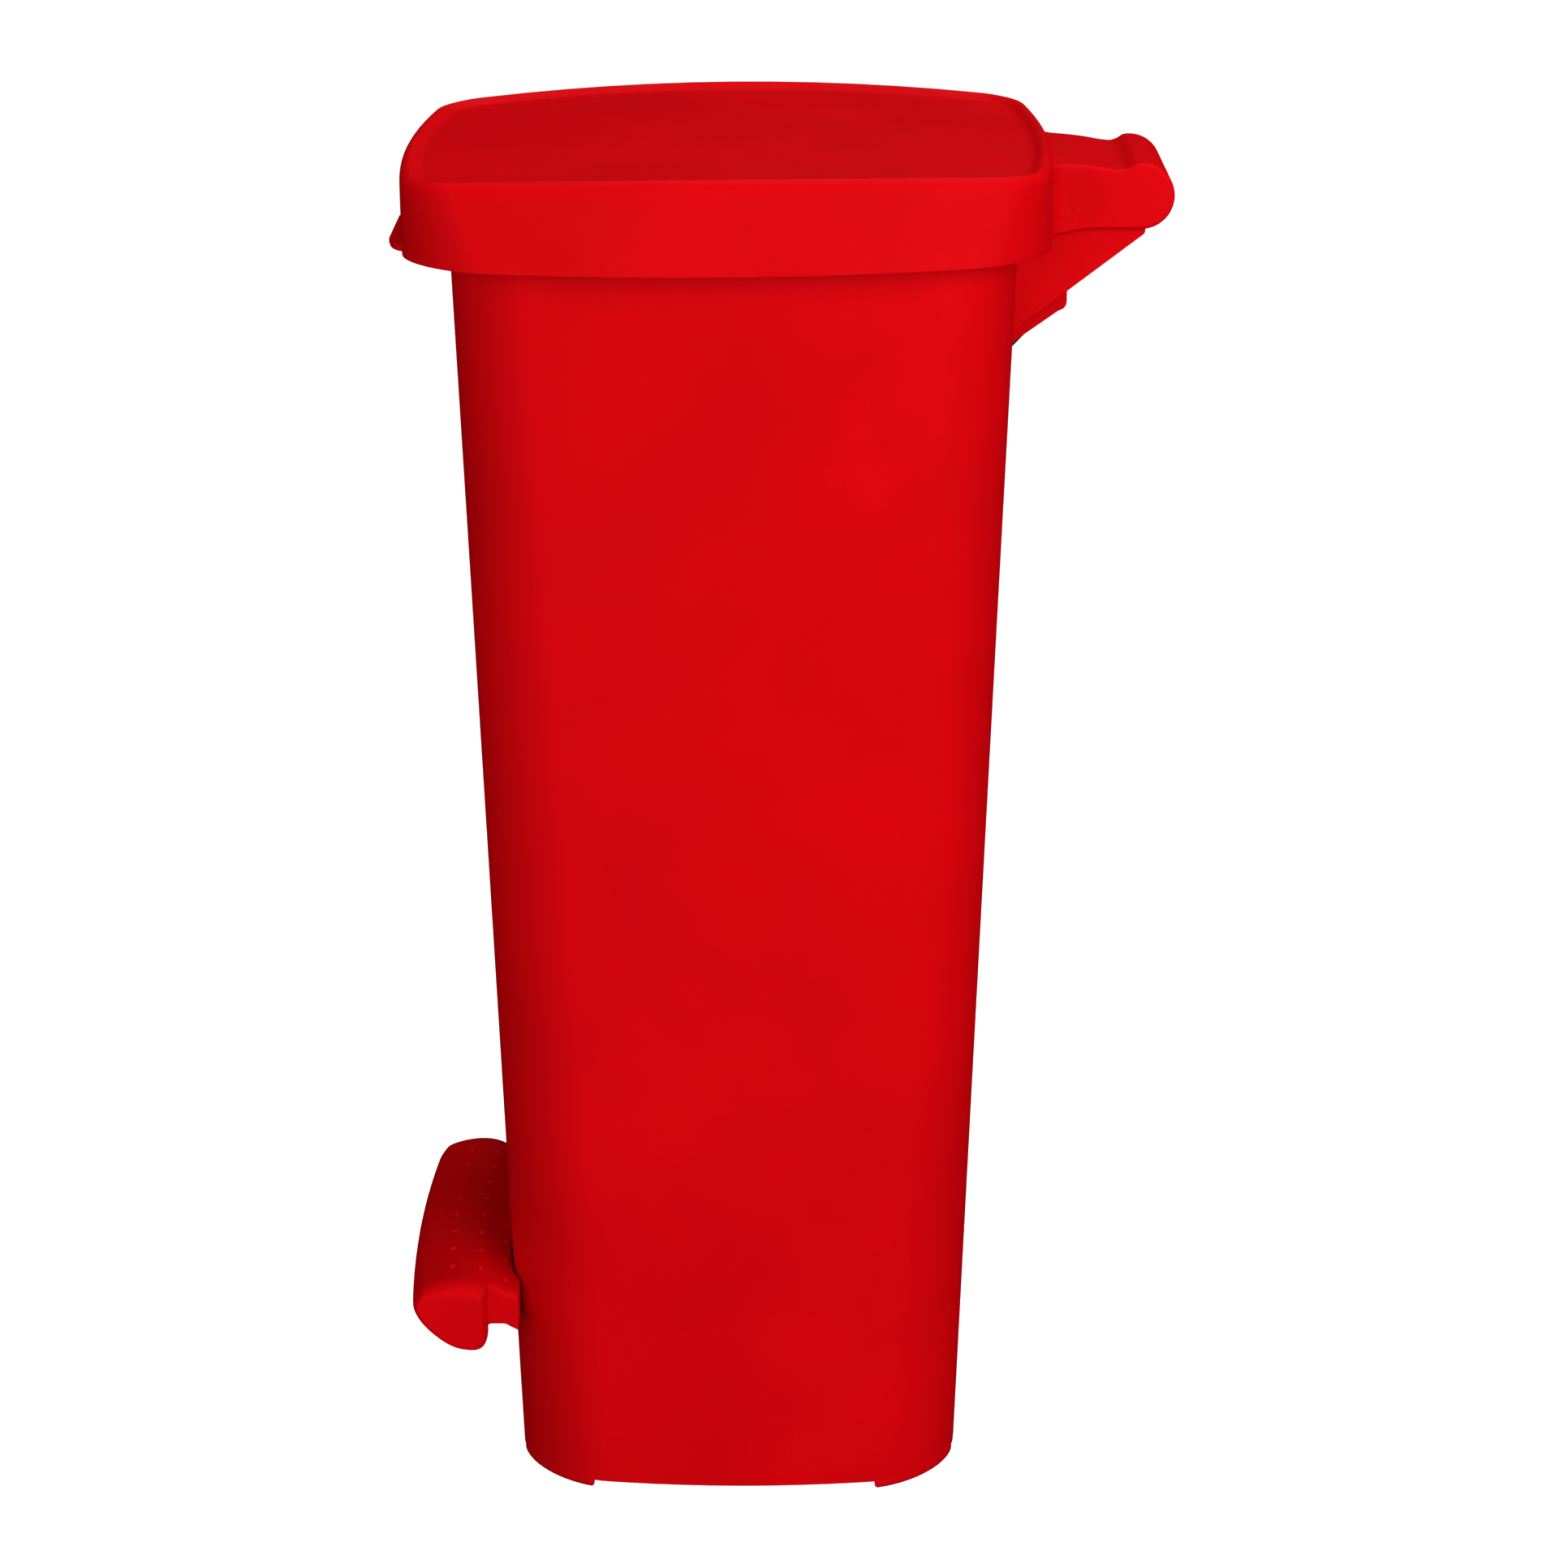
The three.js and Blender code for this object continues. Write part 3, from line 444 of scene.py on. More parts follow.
def moulded_plastic(name, colour, rough=0.6, grain=1.0, scuff=0.25):
    """Satin moulded plastic: fine grain, faint flow mottling, and paler scuffs on worn edges."""
    material, nodes, links, shader = node_material(name)
    coords = nodes.new("ShaderNodeTexCoord").outputs["Object"]
    mottle = noise(nodes, links, coords, 7, 3)
    fine = noise(nodes, links, coords, 1500, 2, 0.6)
    blotch = noise(nodes, links, coords, 60, 5)
    deep = tuple(c * 0.93 for c in colour)
    pale = tuple(c * 1.04 for c in colour)
    base = mix_colour(nodes, links, ramp(nodes, links, mottle, 0.35, 0.65, 0, 1), deep, pale)
    edge = nodes.new("ShaderNodeNewGeometry").outputs["Pointiness"]
    worn = ramp(nodes, links, edge, 0.53, 0.62, 0, 1)
    broken = ramp(nodes, links, noise(nodes, links, coords, 240, 6, 0.7), 0.45, 0.7, 0, scuff)
    wear = maths(nodes, links, "MULTIPLY", worn, broken)
    scuffed = tuple(c * 0.9 + 0.02 for c in colour)
    base = mix_colour(nodes, links, wear, base, scuffed)
    links.new(base, shader.inputs["Base Color"])
    roughness = ramp(nodes, links, blotch, 0.3, 0.7, rough - 0.04, rough + 0.05)
    roughness = maths(nodes, links, "ADD", roughness, maths(nodes, links, "MULTIPLY", wear, 0.3))
    links.new(roughness, shader.inputs["Roughness"])
    shader.inputs["Specular IOR Level"].default_value = 0.025
    waves = bump(nodes, links, noise(nodes, links, coords, 22, 2), 0.0004, 0.12)
    links.new(bump(nodes, links, fine, 0.00006, 0.35 * grain, waves), shader.inputs["Normal"])
    return material


def plated_steel(name):
    """Zinc-plated steel with fine drawing lines and a cloudy finish."""
    material, nodes, links, shader = node_material(name)
    coords = nodes.new("ShaderNodeTexCoord").outputs["Object"]
    cloud = noise(nodes, links, coords, 90, 5)
    stretch = nodes.new("ShaderNodeMapping")
    stretch.inputs["Scale"].default_value = (1, 1, 0.04)
    links.new(coords, stretch.inputs["Vector"])
    lines = noise(nodes, links, stretch.outputs["Vector"], 2500, 3)
    base = mix_colour(nodes, links, cloud, (0.5, 0.51, 0.52), (0.72, 0.72, 0.7))
    links.new(base, shader.inputs["Base Color"])
    shader.inputs["Metallic"].default_value = 1
    links.new(ramp(nodes, links, cloud, 0.3, 0.7, 0.26, 0.42), shader.inputs["Roughness"])
    links.new(bump(nodes, links, lines, 0.00003, 0.4), shader.inputs["Normal"])
    return material


def dark_nylon(name):
    material, nodes, links, shader = node_material(name)
    coords = nodes.new("ShaderNodeTexCoord").outputs["Object"]
    speck = noise(nodes, links, coords, 900, 3)
    base = mix_colour(nodes, links, speck, (0.012, 0.012, 0.013), (0.022, 0.022, 0.024))
    links.new(base, shader.inputs["Base Color"])
    roughness = ramp(nodes, links, noise(nodes, links, coords, 120), 0.3, 0.7, 0.45, 0.6)
    links.new(roughness, shader.inputs["Roughness"])
    links.new(bump(nodes, links, speck, 0.00005, 0.5), shader.inputs["Normal"])
    return material


def black_rubber(name):
    material, nodes, links, shader = node_material(name)
    coords = nodes.new("ShaderNodeTexCoord").outputs["Object"]
    dust = noise(nodes, links, coords, 300, 6)
    dusty = ramp(nodes, links, dust, 0.5, 0.8, 0, 1)
    base = mix_colour(nodes, links, dusty, (0.01, 0.01, 0.01), (0.04, 0.038, 0.036))
    links.new(base, shader.inputs["Base Color"])
    shader.inputs["Roughness"].default_value = 0.82
    shader.inputs["Specular IOR Level"].default_value = 0.3
    links.new(bump(nodes, links, noise(nodes, links, coords, 1200), 0.00008, 0.6), shader.inputs["Normal"])
    return material


RED = (0.66, 0.0006, 0.0034)
BODY_RED = moulded_plastic("body_red", RED)
LID_RED = moulded_plastic("lid_red", RED, rough=0.56)
PEDAL_RED = moulded_plastic("pedal_red", tuple(c * 0.96 for c in RED), rough=0.62, grain=1.3, scuff=0.5)
FOOT_RED = moulded_plastic("foot_red", tuple(c * 0.98 for c in RED), rough=0.62, scuff=0.5)
STEEL = plated_steel("zinc_steel")
NYLON = dark_nylon("black_nylon")
RUBBER = black_rubber("black_rubber")

# ---------------------------------------------------------------- body


def arch(space, radius, grow):
    """Outline of an opening with round corners, grown on every side, that runs down past the ground."""
    half = space["half"] + grow
    return rounded_box(-half, half, -60, space["height"] + grow, radius + grow)


def lever_space(grow):
    """The pocket behind the pedal and the lower tunnel that goes on to the back wall."""
    pocket, tunnel = arch(POCKET, 16, grow), arch(TUNNEL, 12, grow)
    space = prism("pocket", pocket, "x", -TUNNEL["end"], POCKET["end"] + grow)
    return add(space, prism("tunnel", tunnel, "x", POCKET["end"] - 5, TUNNEL["end"]))


def rod_channel(depth, half, top):
    low_x, top_x = back_x(-1), back_x(top)
    outline = [(low_x + 30, -1), (top_x + 30, top), (top_x - depth, top), (low_x - depth, -1)]
    return prism("channel", outline, "y", -half, half)


def block_seat(side):
    inner = TUNNEL["half"] - 7
    y0, y1 = sorted((side * (TUNNEL["half"] + 1), side * inner))
    x, z = PIVOT
    seat = block("seat", x - 25, x + 25, y0, y1, z - 20, z + 26)
    return cut(seat, block("gap", x - 20 - GAP, x + 20 + GAP, y0 - 1, y1 + 1, 0, z + 20 + GAP))


def rivet_hole(y, z, radius):
    return tube("hole", [(back_x(z) - 12, y, z), (back_x(z) + 12, y, z)], radius, 32, 0)


def body_outer():
    """Outside of the shell with its rolled rim."""
    rings = [body_ring(BODY_FOOT["z"] + (RIM_ROOT - 4 - BODY_FOOT["z"]) * k / 28) for k in range(29)]
    flare = [(RIM_ROOT - 4, 0), (RIM_ROOT, 0.8), (RIM_ROOT + 3, 4), (RIM_ROOT + 5, RIM_WIDTH)]
    rings += [body_ring(z, -out) for z, out in curve_through(flare, 4)[1:]]
    for z, out in arc(RIM_TOP - 2.5, RIM_WIDTH - 2.5, 2.5, math.pi / 2, 0, 5):
        rings.append(body_ring(z, -out))
    return loft("body_shell_moulding", rings)


def body_shell():
    shell = body_outer()
    solid = shell.copy()
    solid.data = shell.data.copy()
    bpy.context.scene.collection.objects.link(solid)
    round_up = [(0, 14), (3, 5), (10, 1)]
    round_up = [(FLOOR_TOP + rise, BODY_WALL + inset) for rise, inset in round_up]
    inner = [body_ring(z, inset) for z, inset in curve_through(round_up, 4)]
    inner += [body_ring(FLOOR_TOP + 16 + (RIM_TOP - 20 - FLOOR_TOP) * k / 24, BODY_WALL) for k in range(25)]
    inner += [body_ring(RIM_TOP - 1, BODY_WALL), body_ring(RIM_TOP + 1, BODY_WALL - 2.5)]
    cut(shell, loft("inside", inner))
    under = BODY_WALL + 2
    cut(shell, loft("underside", [body_ring(0, under), body_ring(FLOOR_TOP - BODY_WALL, under)]))
    channel = rod_channel(CHANNEL_DEPTH + 3, CHANNEL_HALF + 3, CHANNEL_TOP + 3)
    add(shell, keep(add(lever_space(CASING_WALL), channel), solid))
    cut(shell, lever_space(0), rod_channel(CHANNEL_DEPTH, CHANNEL_HALF, CHANNEL_TOP))
    wall = back_x(RIM_ROOT)
    cut(shell, block("relief", wall + 3, wall + 30, -RELIEF_HALF, RELIEF_HALF, RIM_ROOT - 10, RIM_TOP + 1))
    add(shell, block_seat(-1), block_seat(1))
    cut(shell, *(rivet_hole(y, z, 3 + GAP) for y, z in RIVETS))
    soften(shell, 0.9, 3, 50)
    return finish_piece(shell, "body", "body_plastic", BODY_RED, "body_shell")


def corner_block(x0, x1, y0, y1, height):
    """Block that keeps one corner of the foot ring, drawn in at the ground for a rounded foot."""
    rings = []
    for z, inset in curve_through([(-1, 6), (0, 4), (1, 1.7), (2.8, 0.5), (4.5, 0), (height, 0)], 3):
        outline = rounded_box(x0 + inset, x1 - inset, y0 + inset, y1 - inset, 5)
        rings.append([(x, y, z) for x, y in outline])
    return loft("corner", rings)


def feet():
    """Corner pads flush with the shell, which they meet just above its rounded lower edge."""
    height = BODY_FOOT["z"] + 0.85
    profile = curve_through([(0, 3.2), (0.7, 1.5), (2, 0.5), (3.6, 0.1), (5, 0)], 3) + [(height, 0)]
    for end, sx in (("front", -1), ("rear", 1)):
        for side, sy in (("left", -1), ("right", 1)):
            rings = [[(x, y, z) for x, y in plan(BODY_FOOT, inset)] for z, inset in profile]
            pad = loft(f"foot_{end}_{side}_pad", rings)
            x0, x1 = sorted((FOOT_INNER[end], sx * FOOT_OUTER))
            y0, y1 = sorted((sy * FOOT_INNER["side"], sy * FOOT_OUTER))
            keep(pad, corner_block(x0, x1, y0, y1, height + 1))
            finish_piece(pad, "body", "foot_plastic", FOOT_RED, f"foot_{end}_{side}")


# ---------------------------------------------------------------- hinge bracket


def gusset_outline():
    outline = [(168, 762)]
    outline += arc(249.5, 828.4, 3, math.radians(-52), 0.15, 6)
    outline += [(253.5, 836)] + arc(*HINGE, GUSSET_BOSS, -1.1, 2.1, 28)
    return outline + [(190, 857), (190, 842), (168, 842)]


def housing_outline():
    return [(168, 746.5), (202, 770.8)] + arc(201.5, 777, 6, -0.9, 0, 6) + [(207.5, 802), (168, 802)]


def hinge_bracket():
    low, high = back_x(PLATE_LOW), back_x(PLATE_HIGH)
    plate = [(low - 3, PLATE_LOW), (low + PLATE_DEPTH, PLATE_LOW)]
    plate += [(high + PLATE_DEPTH, PLATE_HIGH), (high - 3, PLATE_HIGH)]
    bracket = prism("hinge_bracket_moulding", plate, "y", -GUSSET_OUT, GUSSET_OUT)
    add(bracket, prism("gusset", gusset_outline(), "y", -GUSSET_OUT, -GUSSET_IN))
    add(bracket, prism("gusset", gusset_outline(), "y", GUSSET_IN, GUSSET_OUT))
    add(bracket, prism("housing", housing_outline(), "y", -HOUSING_HALF, HOUSING_HALF))
    cut(bracket, block("way", 150, 204.5, -HOUSING_WAY, HOUSING_WAY, 740, 850))
    x, z = HINGE
    cut(bracket, tube("bore", [(x, -60, z), (x, 60, z)], BUSH_RADIUS + GAP, 48, 0))
    cut(bracket, loft("wall", [body_ring(700, -GAP), body_ring(RIM_ROOT + 10, -GAP)]))
    cut(bracket, *(rivet_hole(y, z, 3 + GAP) for y, z in RIVETS))
    soften(bracket, 0.6, 3, 40)
    return finish_piece(bracket, "body", "body_plastic", BODY_RED, "hinge_bracket")


def bracket_rivets():
    for k, (y, z) in enumerate(RIVETS):
        section = body_section(z)
        wall = section["x"] + section["a"] + section["rear"] * (1 - (y / section["b"]) ** 2)
        inside = wall - BODY_WALL - GAP - 0.3
        length = back_x(z) + PLATE_DEPTH + GAP + 0.3 - inside
        dome = [(6, 0), (5.8, 0.7), (5, 1.7), (3.6, 2.6), (1.9, 3.1), (0.9, 3.15)]
        profile = [(0, -2.2), (4.2, -2.2), (5, -1.6), (5.2, -0.7), (4.6, 0), (3, 0), (3, length)]
        profile += [(r, length + h) for r, h in dome] + [(0, length + 2.9)]
        rivet = lathe(f"bracket_rivet_{k + 1}_head", profile, (inside, y, z), (1, 0, 0))
        finish_piece(rivet, "body", "steel", STEEL, f"bracket_rivet_{k + 1}")


def hinge_hardware():
    x, z = HINGE
    pin = [(0, -52.4), (2.8, -52.4), (PIN_RADIUS, -51.2), (PIN_RADIUS, 51.2), (2.8, 52.4), (0, 52.4)]
    finish_piece(lathe("hinge_pin_bar", pin, (x, 0, z), (0, 1, 0)), "lid", "steel", STEEL, "hinge_pin")
    for side, sign in (("left", -1), ("right", 1)):
        face, back, bore = GUSSET_OUT + GAP, GUSSET_IN - 2, PIN_RADIUS + GAP
        bush = [(bore, back + 0.5), (bore + 0.5, back)]
        bush += [(BUSH_RADIUS - 0.5, back), (BUSH_RADIUS, back + 0.5)]
        bush += [(BUSH_RADIUS, face), (10.7, face), (11, face + 0.3), (11, face + 1.1), (10.6, face + 1.5)]
        bush += [(bore + 0.5, face + 1.5), (bore, face + 1)]
        turned = lathe(f"hinge_bush_{side}_sleeve", bush, (x, 0, z), (0, sign, 0))
        finish_piece(turned, "body", "nylon", NYLON, f"hinge_bush_{side}")
        inner, hole = face + 1.5 + GAP, PIN_RADIUS + 0.15
        cap = [(hole, inner), (6.8, inner), (7, inner + 0.2)]
        cap += [(7, inner + 0.6), (6.6, inner + 0.9), (hole, inner + 0.9)]
        washer = lathe(f"pin_cap_{side}_ring", cap, (x, 0, z), (0, sign, 0))
        finish_piece(washer, "lid", "steel", STEEL, f"pin_cap_{side}")


# ---------------------------------------------------------------- lid


# Side view of the hood: its underside towards the knuckle, and its top from the knuckle back to the lid.
HOOD_UNDER = [(HOOD_ROOT, 826), (202, 827.8), (212, 829.4), (222, 830.3), (240, 830.3)]
HOOD_TOP = [
    (241.5, 868.3), (237, 866.9), (230, 867.5), (222, 868.9), (214, 870), (206, 870.7), (196, 871.1),
    (HOOD_ROOT, 871.3),
]


def hood_outline(inset):
    outline = curve_through([(x, z + inset) for x, z in HOOD_UNDER], 5)
    outline += arc(*HINGE, KNUCKLE - inset, -math.pi / 2, math.radians(102), 44)
    return outline + curve_through([(x, z - inset) for x, z in HOOD_TOP], 5)


def hood_plan(inset):
    """The hood from above, flared where it meets the lid, and open past the knuckle."""
    w, end, root = HOOD_HALF - inset, HINGE[0] + KNUCKLE + 1, HOOD_ROOT + 6
    flare = [(-2, FLARE), (1.2, 12), (4.6, 5.4), (10, 1.5), (FLARE, 0)]
    near = [(root - 20, -w - FLARE)]
    near += curve_through([(root + along, -w - out) for along, out in flare], 5)
    near.append((end, -w))
    return near + [(x, -y) for x, y in reversed(near)]


def hood(inset):
    reach = HOOD_HALF + FLARE + 1
    side = prism("hood", hood_outline(inset), "y", -reach, reach)
    return keep(side, prism("hood_plan", hood_plan(inset), "z", 800, 900))


def lift_point(r):
    return HINGE[0] - r * math.cos(LIFT_ANGLE), HINGE[1] - r * math.sin(LIFT_ANGLE)


def lift_lug():
    (u0, v0), (u1, v1) = lift_point(LIFT_RADIUS + 0.5), lift_point(LIFT_RADIUS - 9)
    half = ROD_RADIUS + SLOT_PLAY
    lug = prism("lug", capsule(u0, v0, u1, v1, half + 3.6), "y", *LUG_Y)
    add(lug, prism("web", [(u0 - 6, v0 + 7), (u1 + 7, v1 - 6), (227, 866), (200, 869.5)], "y", *LUG_Y))
    return cut(lug, prism("slot", capsule(u0, v0, u1, v1, half), "y", LUG_Y[0] - 1, LUG_Y[1] + 1))


def pin_rib(y0, y1):
    x, z = HINGE
    outline = arc(x, z, 10, math.pi, 2 * math.pi) + [(x + 10, z + 19), (x - 10, z + 16)]
    return prism("rib", outline, "y", y0, y1)


def finger_lift():
    near = curve_through([(-198, -66), (-206, -62), (-211.5, -52), (-214.4, -36)], 6)
    ledge = prism("ledge", near + [(x, -y) for x, y in reversed(near)], "z", 817, 820.8)
    soften(ledge, 0.8, 3, 50)
    web = loft("web", [lid_ring(-7, 0, 0), lid_ring(2, 0, 0)])
    cut(web, loft("web_inside", [lid_ring(-8, LID_WALL, 0), lid_ring(3, LID_WALL, 0)]))
    keep(web, block("span", -230, -150, -64, 64, 817.3, 840))
    return add(ledge, web)


# From the skirt's edge over the crest to the panel: height above the edge, inset from the outline, and
# share of the crown.
LID_PROFILE = [
    (0, 1.2, 0), (0.35, 0.35, 0), (1.2, 0, 0.02), (14, 0, 0.3), (30, 0, 0.55), (42, 0.05, 0.8),
    (48, 0.15, 0.9), (51.5, 0.8, 0.96), (53.8, 2.1, 1), (55.1, 3.8, 1), (55.45, 5.1, 1), (55.2, 6.5, 1),
    (54.2, 8.2, 1), (52.8, 9.9, 1), (51.7, 11.7, 1), (LID_PANEL, 14, 1),
]


def lid_shell():
    rings = [lid_ring(*step) for step in curve_through(LID_PROFILE, 4)]
    rings += [lid_ring(LID_PANEL, 14, 1, s) for s in (0.93, 0.84, 0.72, 0.6, 0.48, 0.36, 0.24, 0.12, 0.04)]
    shell = loft("lid_shell_moulding", rings)
    outer_hood = cut(hood(0), loft("core", [lid_ring(-20, 4, 0), lid_ring(60, 4, 1)]))
    soften(outer_hood, 2.6, 6, 45)
    add(shell, outer_hood)
    under = LID_PANEL - LID_WALL
    inner = [lid_ring(-8, LID_WALL, 0), lid_ring(24, LID_WALL, 0.5)]
    shoulder = [(44, LID_WALL + 0.5, 0.85), (under - 1.5, 8.5, 1), (under, 13, 1)]
    inner += [lid_ring(*step) for step in curve_through(shoulder, 4)]
    inner += [lid_ring(under, 13, 1, s) for s in (0.84, 0.66, 0.48, 0.3, 0.12)]
    cut(shell, loft("inside", inner))
    clear = GUSSET_OUT + 3.2
    cut(shell, hood(LID_WALL), block("slot", HOOD_ROOT - 6, HINGE[0] + 2, -clear, clear, 815, 845))
    cut(shell, block("notch", 170, HOOD_ROOT + 22, -clear, clear, 815, 862))
    reach = GUSSET_OUT + 1.5
    cut(shell, block("swing", HINGE[0] - 5, HINGE[0] + 30, -reach, reach, 820, 848))
    add(shell, lift_lug(), pin_rib(-41, -36), pin_rib(36, 41), finger_lift())
    x, z = HINGE
    cut(shell, tube("bore", [(x, -48, z), (x, 48, z)], PIN_RADIUS + GAP, 48, 0))
    return finish_piece(shell, "lid", "lid_plastic", LID_RED, "lid_shell")


def lid_bumpers():
    for k, (x, y) in enumerate(BUMPERS):
        height = lid_z(x, LID_PANEL - LID_WALL, 1) - RIM_TOP - 3 * GAP
        profile = [(0, 0), (3.4, 0), (4.4, 0.3), (5, 1.2), (5.5, height), (0, height)]
        stop = lathe(f"lid_bumper_{k + 1}_stop", profile, (x, y, RIM_TOP + GAP), (0, 0, 1))
        finish_piece(stop, "lid", "rubber", RUBBER, f"lid_bumper_{k + 1}")


# ---------------------------------------------------------------- pedal

PEDAL_STATIONS = 40

# Share of the wing's depth and fall below the crown, from the front edge over the wing and down the pad.
TREAD = [
    (0, NOSE_DROP), (0.07, 9.5), (0.14, 6), (0.29, 3), (0.45, 1), (0.65, 0), (0.82, 1), (0.95, 3.4), (1, 5),
]
PAD_FALL = [(1.1, 7.4), (1.2, 10), (1.3, 12.3), (1.4, 14.5)]


def fullness(y):
    """1 along the middle of the pedal, falling to 0 at each rounded end."""
    past = max(0.0, abs(y) - PEDAL_HALF + PEDAL_ROUND)
    return math.sqrt(max(0.0, 1 - (past / PEDAL_ROUND) ** 2))


def tread_drop(share):
    profile = TREAD + PAD_FALL
    k = next((i for i, (place, _) in enumerate(profile) if place >= share and i), len(profile) - 1)
    (u0, d0), (u1, d1) = profile[k - 1], profile[k]
    return d0 + (d1 - d0) * (share - u0) / (u1 - u0)


def tread_z(share, y):
    """Height of the tread at a share of the wing's depth and a place across its width."""
    nose = PEDAL_TOP - NOSE_DROP - (y / PEDAL_HALF) ** 2
    return nose + (NOSE_DROP - tread_drop(share)) * (0.45 + 0.55 * fullness(y))


def pedal_section(y, inset):
    """Cross-section of the wing at a place across the pedal's width."""
    ending = 1 - fullness(y)
    front = PEDAL_FRONT + PEDAL_BOW * (y / PEDAL_HALF) ** 2 + 3 * ending + inset
    back = PEDAL_BACK - 4 * ending - inset
    low = PEDAL_LOW + 3 * ending
    outline = [(u, tread_z(u, y) - inset) for u, _ in [*TREAD, PAD_FALL[0]]]
    outline = curve_through(outline, 3)[:-3]
    if inset > 0:
        outline += [(1, low - 30), (0, low - 30)]
    else:
        skirt = [(1, low + 14), (0.99, low + 4), (0.88, low), (0.6, low + 1.5), (0.35, low + 8),
                 (0.12, low + 18), (0.01, low + 27), outline[0]]
        outline += curve_through(skirt, 3)[:-1]
    return [(front + u * (back - front), y, z) for u, z in outline]


def pedal_form(name, inset):
    reach = PEDAL_HALF - inset
    turns = [math.pi * k / PEDAL_STATIONS for k in range(PEDAL_STATIONS + 1)]
    return loft(name, [pedal_section(-reach * math.cos(t), inset) for t in turns])


def pedal_pad(name, inset):
    """Pad behind the wing that carries the tread down to the body and follows its front wall."""
    reach = PAD_HALF - inset
    front, back, low = PEDAL_BACK - 12 + inset, PAD_BACK - inset, PAD_LOW - 4 * inset
    rings = []
    for place in (-1, -0.985, -0.95, -0.6, -0.3, 0, 0.3, 0.6, 0.95, 0.985, 1):
        y = place * reach
        rounding = {1: 3, 0.985: 0.9}.get(abs(place), 0)
        outline = [(front, tread_z(1, y) - inset - rounding)]
        for x in (PEDAL_BACK, *PAD_PLACES, back):
            share = (x - PEDAL_FRONT) / (PEDAL_BACK - PEDAL_FRONT)
            outline.append((x, tread_z(share, y) - inset - rounding))
        outline += [(back, PAD_HEEL - 4 * inset), (back - 9, low), (front, low)]
        rings.append([(x, y, z) for x, z in outline])
    pad = loft(name, rings)
    return cut(pad, loft("front_wall", [body_ring(50, -PAD_GAP - inset), body_ring(200, -PAD_GAP - inset)]))


def pedal_height(plate, x, y):
    """Top surface of the pedal under a point, by casting a ray down on it."""
    hit, place, _, _ = plate.ray_cast(Vector(((x + BODY_X) * MM, y * MM, 0.3)), Vector((0, 0, -1)))
    return place.z / MM if hit else PEDAL_TOP


DOT_PROFILE = [(0, -2), (2.2, -2), (2.2, 0), (2, 0.45), (1.5, 0.85), (0.9, 1.1), (0.3, 1.18), (0, 1.2)]


def tread_dots(plate):
    """Three rows of raised dots that follow the pedal's front edge."""
    dots = []
    for row in DOT_ROWS:
        for k in range(-4, 4):
            y = (k + 0.5) * DOT_PITCH
            x = row + PEDAL_BOW * (y / PEDAL_HALF) ** 2
            top = pedal_height(plate, x, y)
            dots.append(lathe("dot", DOT_PROFILE, (x, y, top), (0, 0, 1), 20))
    return dots


def pedal_plate():
    plate = add(pedal_form("pedal_plate_moulding", 0), pedal_pad("pad", 0))
    remesh = plate.modifiers.new("remesh", "REMESH")
    remesh.mode = "VOXEL"
    remesh.voxel_size = 0.9 * MM
    bake(plate)
    relax = plate.modifiers.new("relax", "SMOOTH")
    relax.factor = 0.5
    relax.iterations = 6
    bake(plate)
    cut(plate, pedal_form("hollow", PLASTIC_WALL), pedal_pad("pad_hollow", PLASTIC_WALL))
    for y in SCREWS:
        add(plate, tube("boss", [(SCREW_X, y, 127), (SCREW_X, y, PEDAL_TOP - 3)], 6, 32, 0))
        cut(plate, tube("pilot", [(SCREW_X, y, 120), (SCREW_X, y, 139)], 2.5 + GAP, 32, 0))
    reach = NECK_HALF + 1
    cut(plate, block("neck_gap", PEDAL_BACK - 9, PEDAL_BACK + 40, -reach, reach, 90, SHELF_HIGH + 0.5))
    add(plate, *tread_dots(plate))
    return finish_piece(plate, "pedal", "pedal_plastic", PEDAL_RED, "pedal_plate")


def rod_path():
    lean = back_x(1) - back_x(0)
    top_x, top_z = lift_point(LIFT_RADIUS)
    foot = (back_x(ROD_FOOT_Z) - ROD_DEPTH, 0, ROD_FOOT_Z)
    low = (back_x(JOG_LOW) - ROD_DEPTH, 0, JOG_LOW)
    return [foot, low, (top_x + (JOG_HIGH - top_z) * lean, 0, JOG_HIGH), (top_x, 0, top_z)]


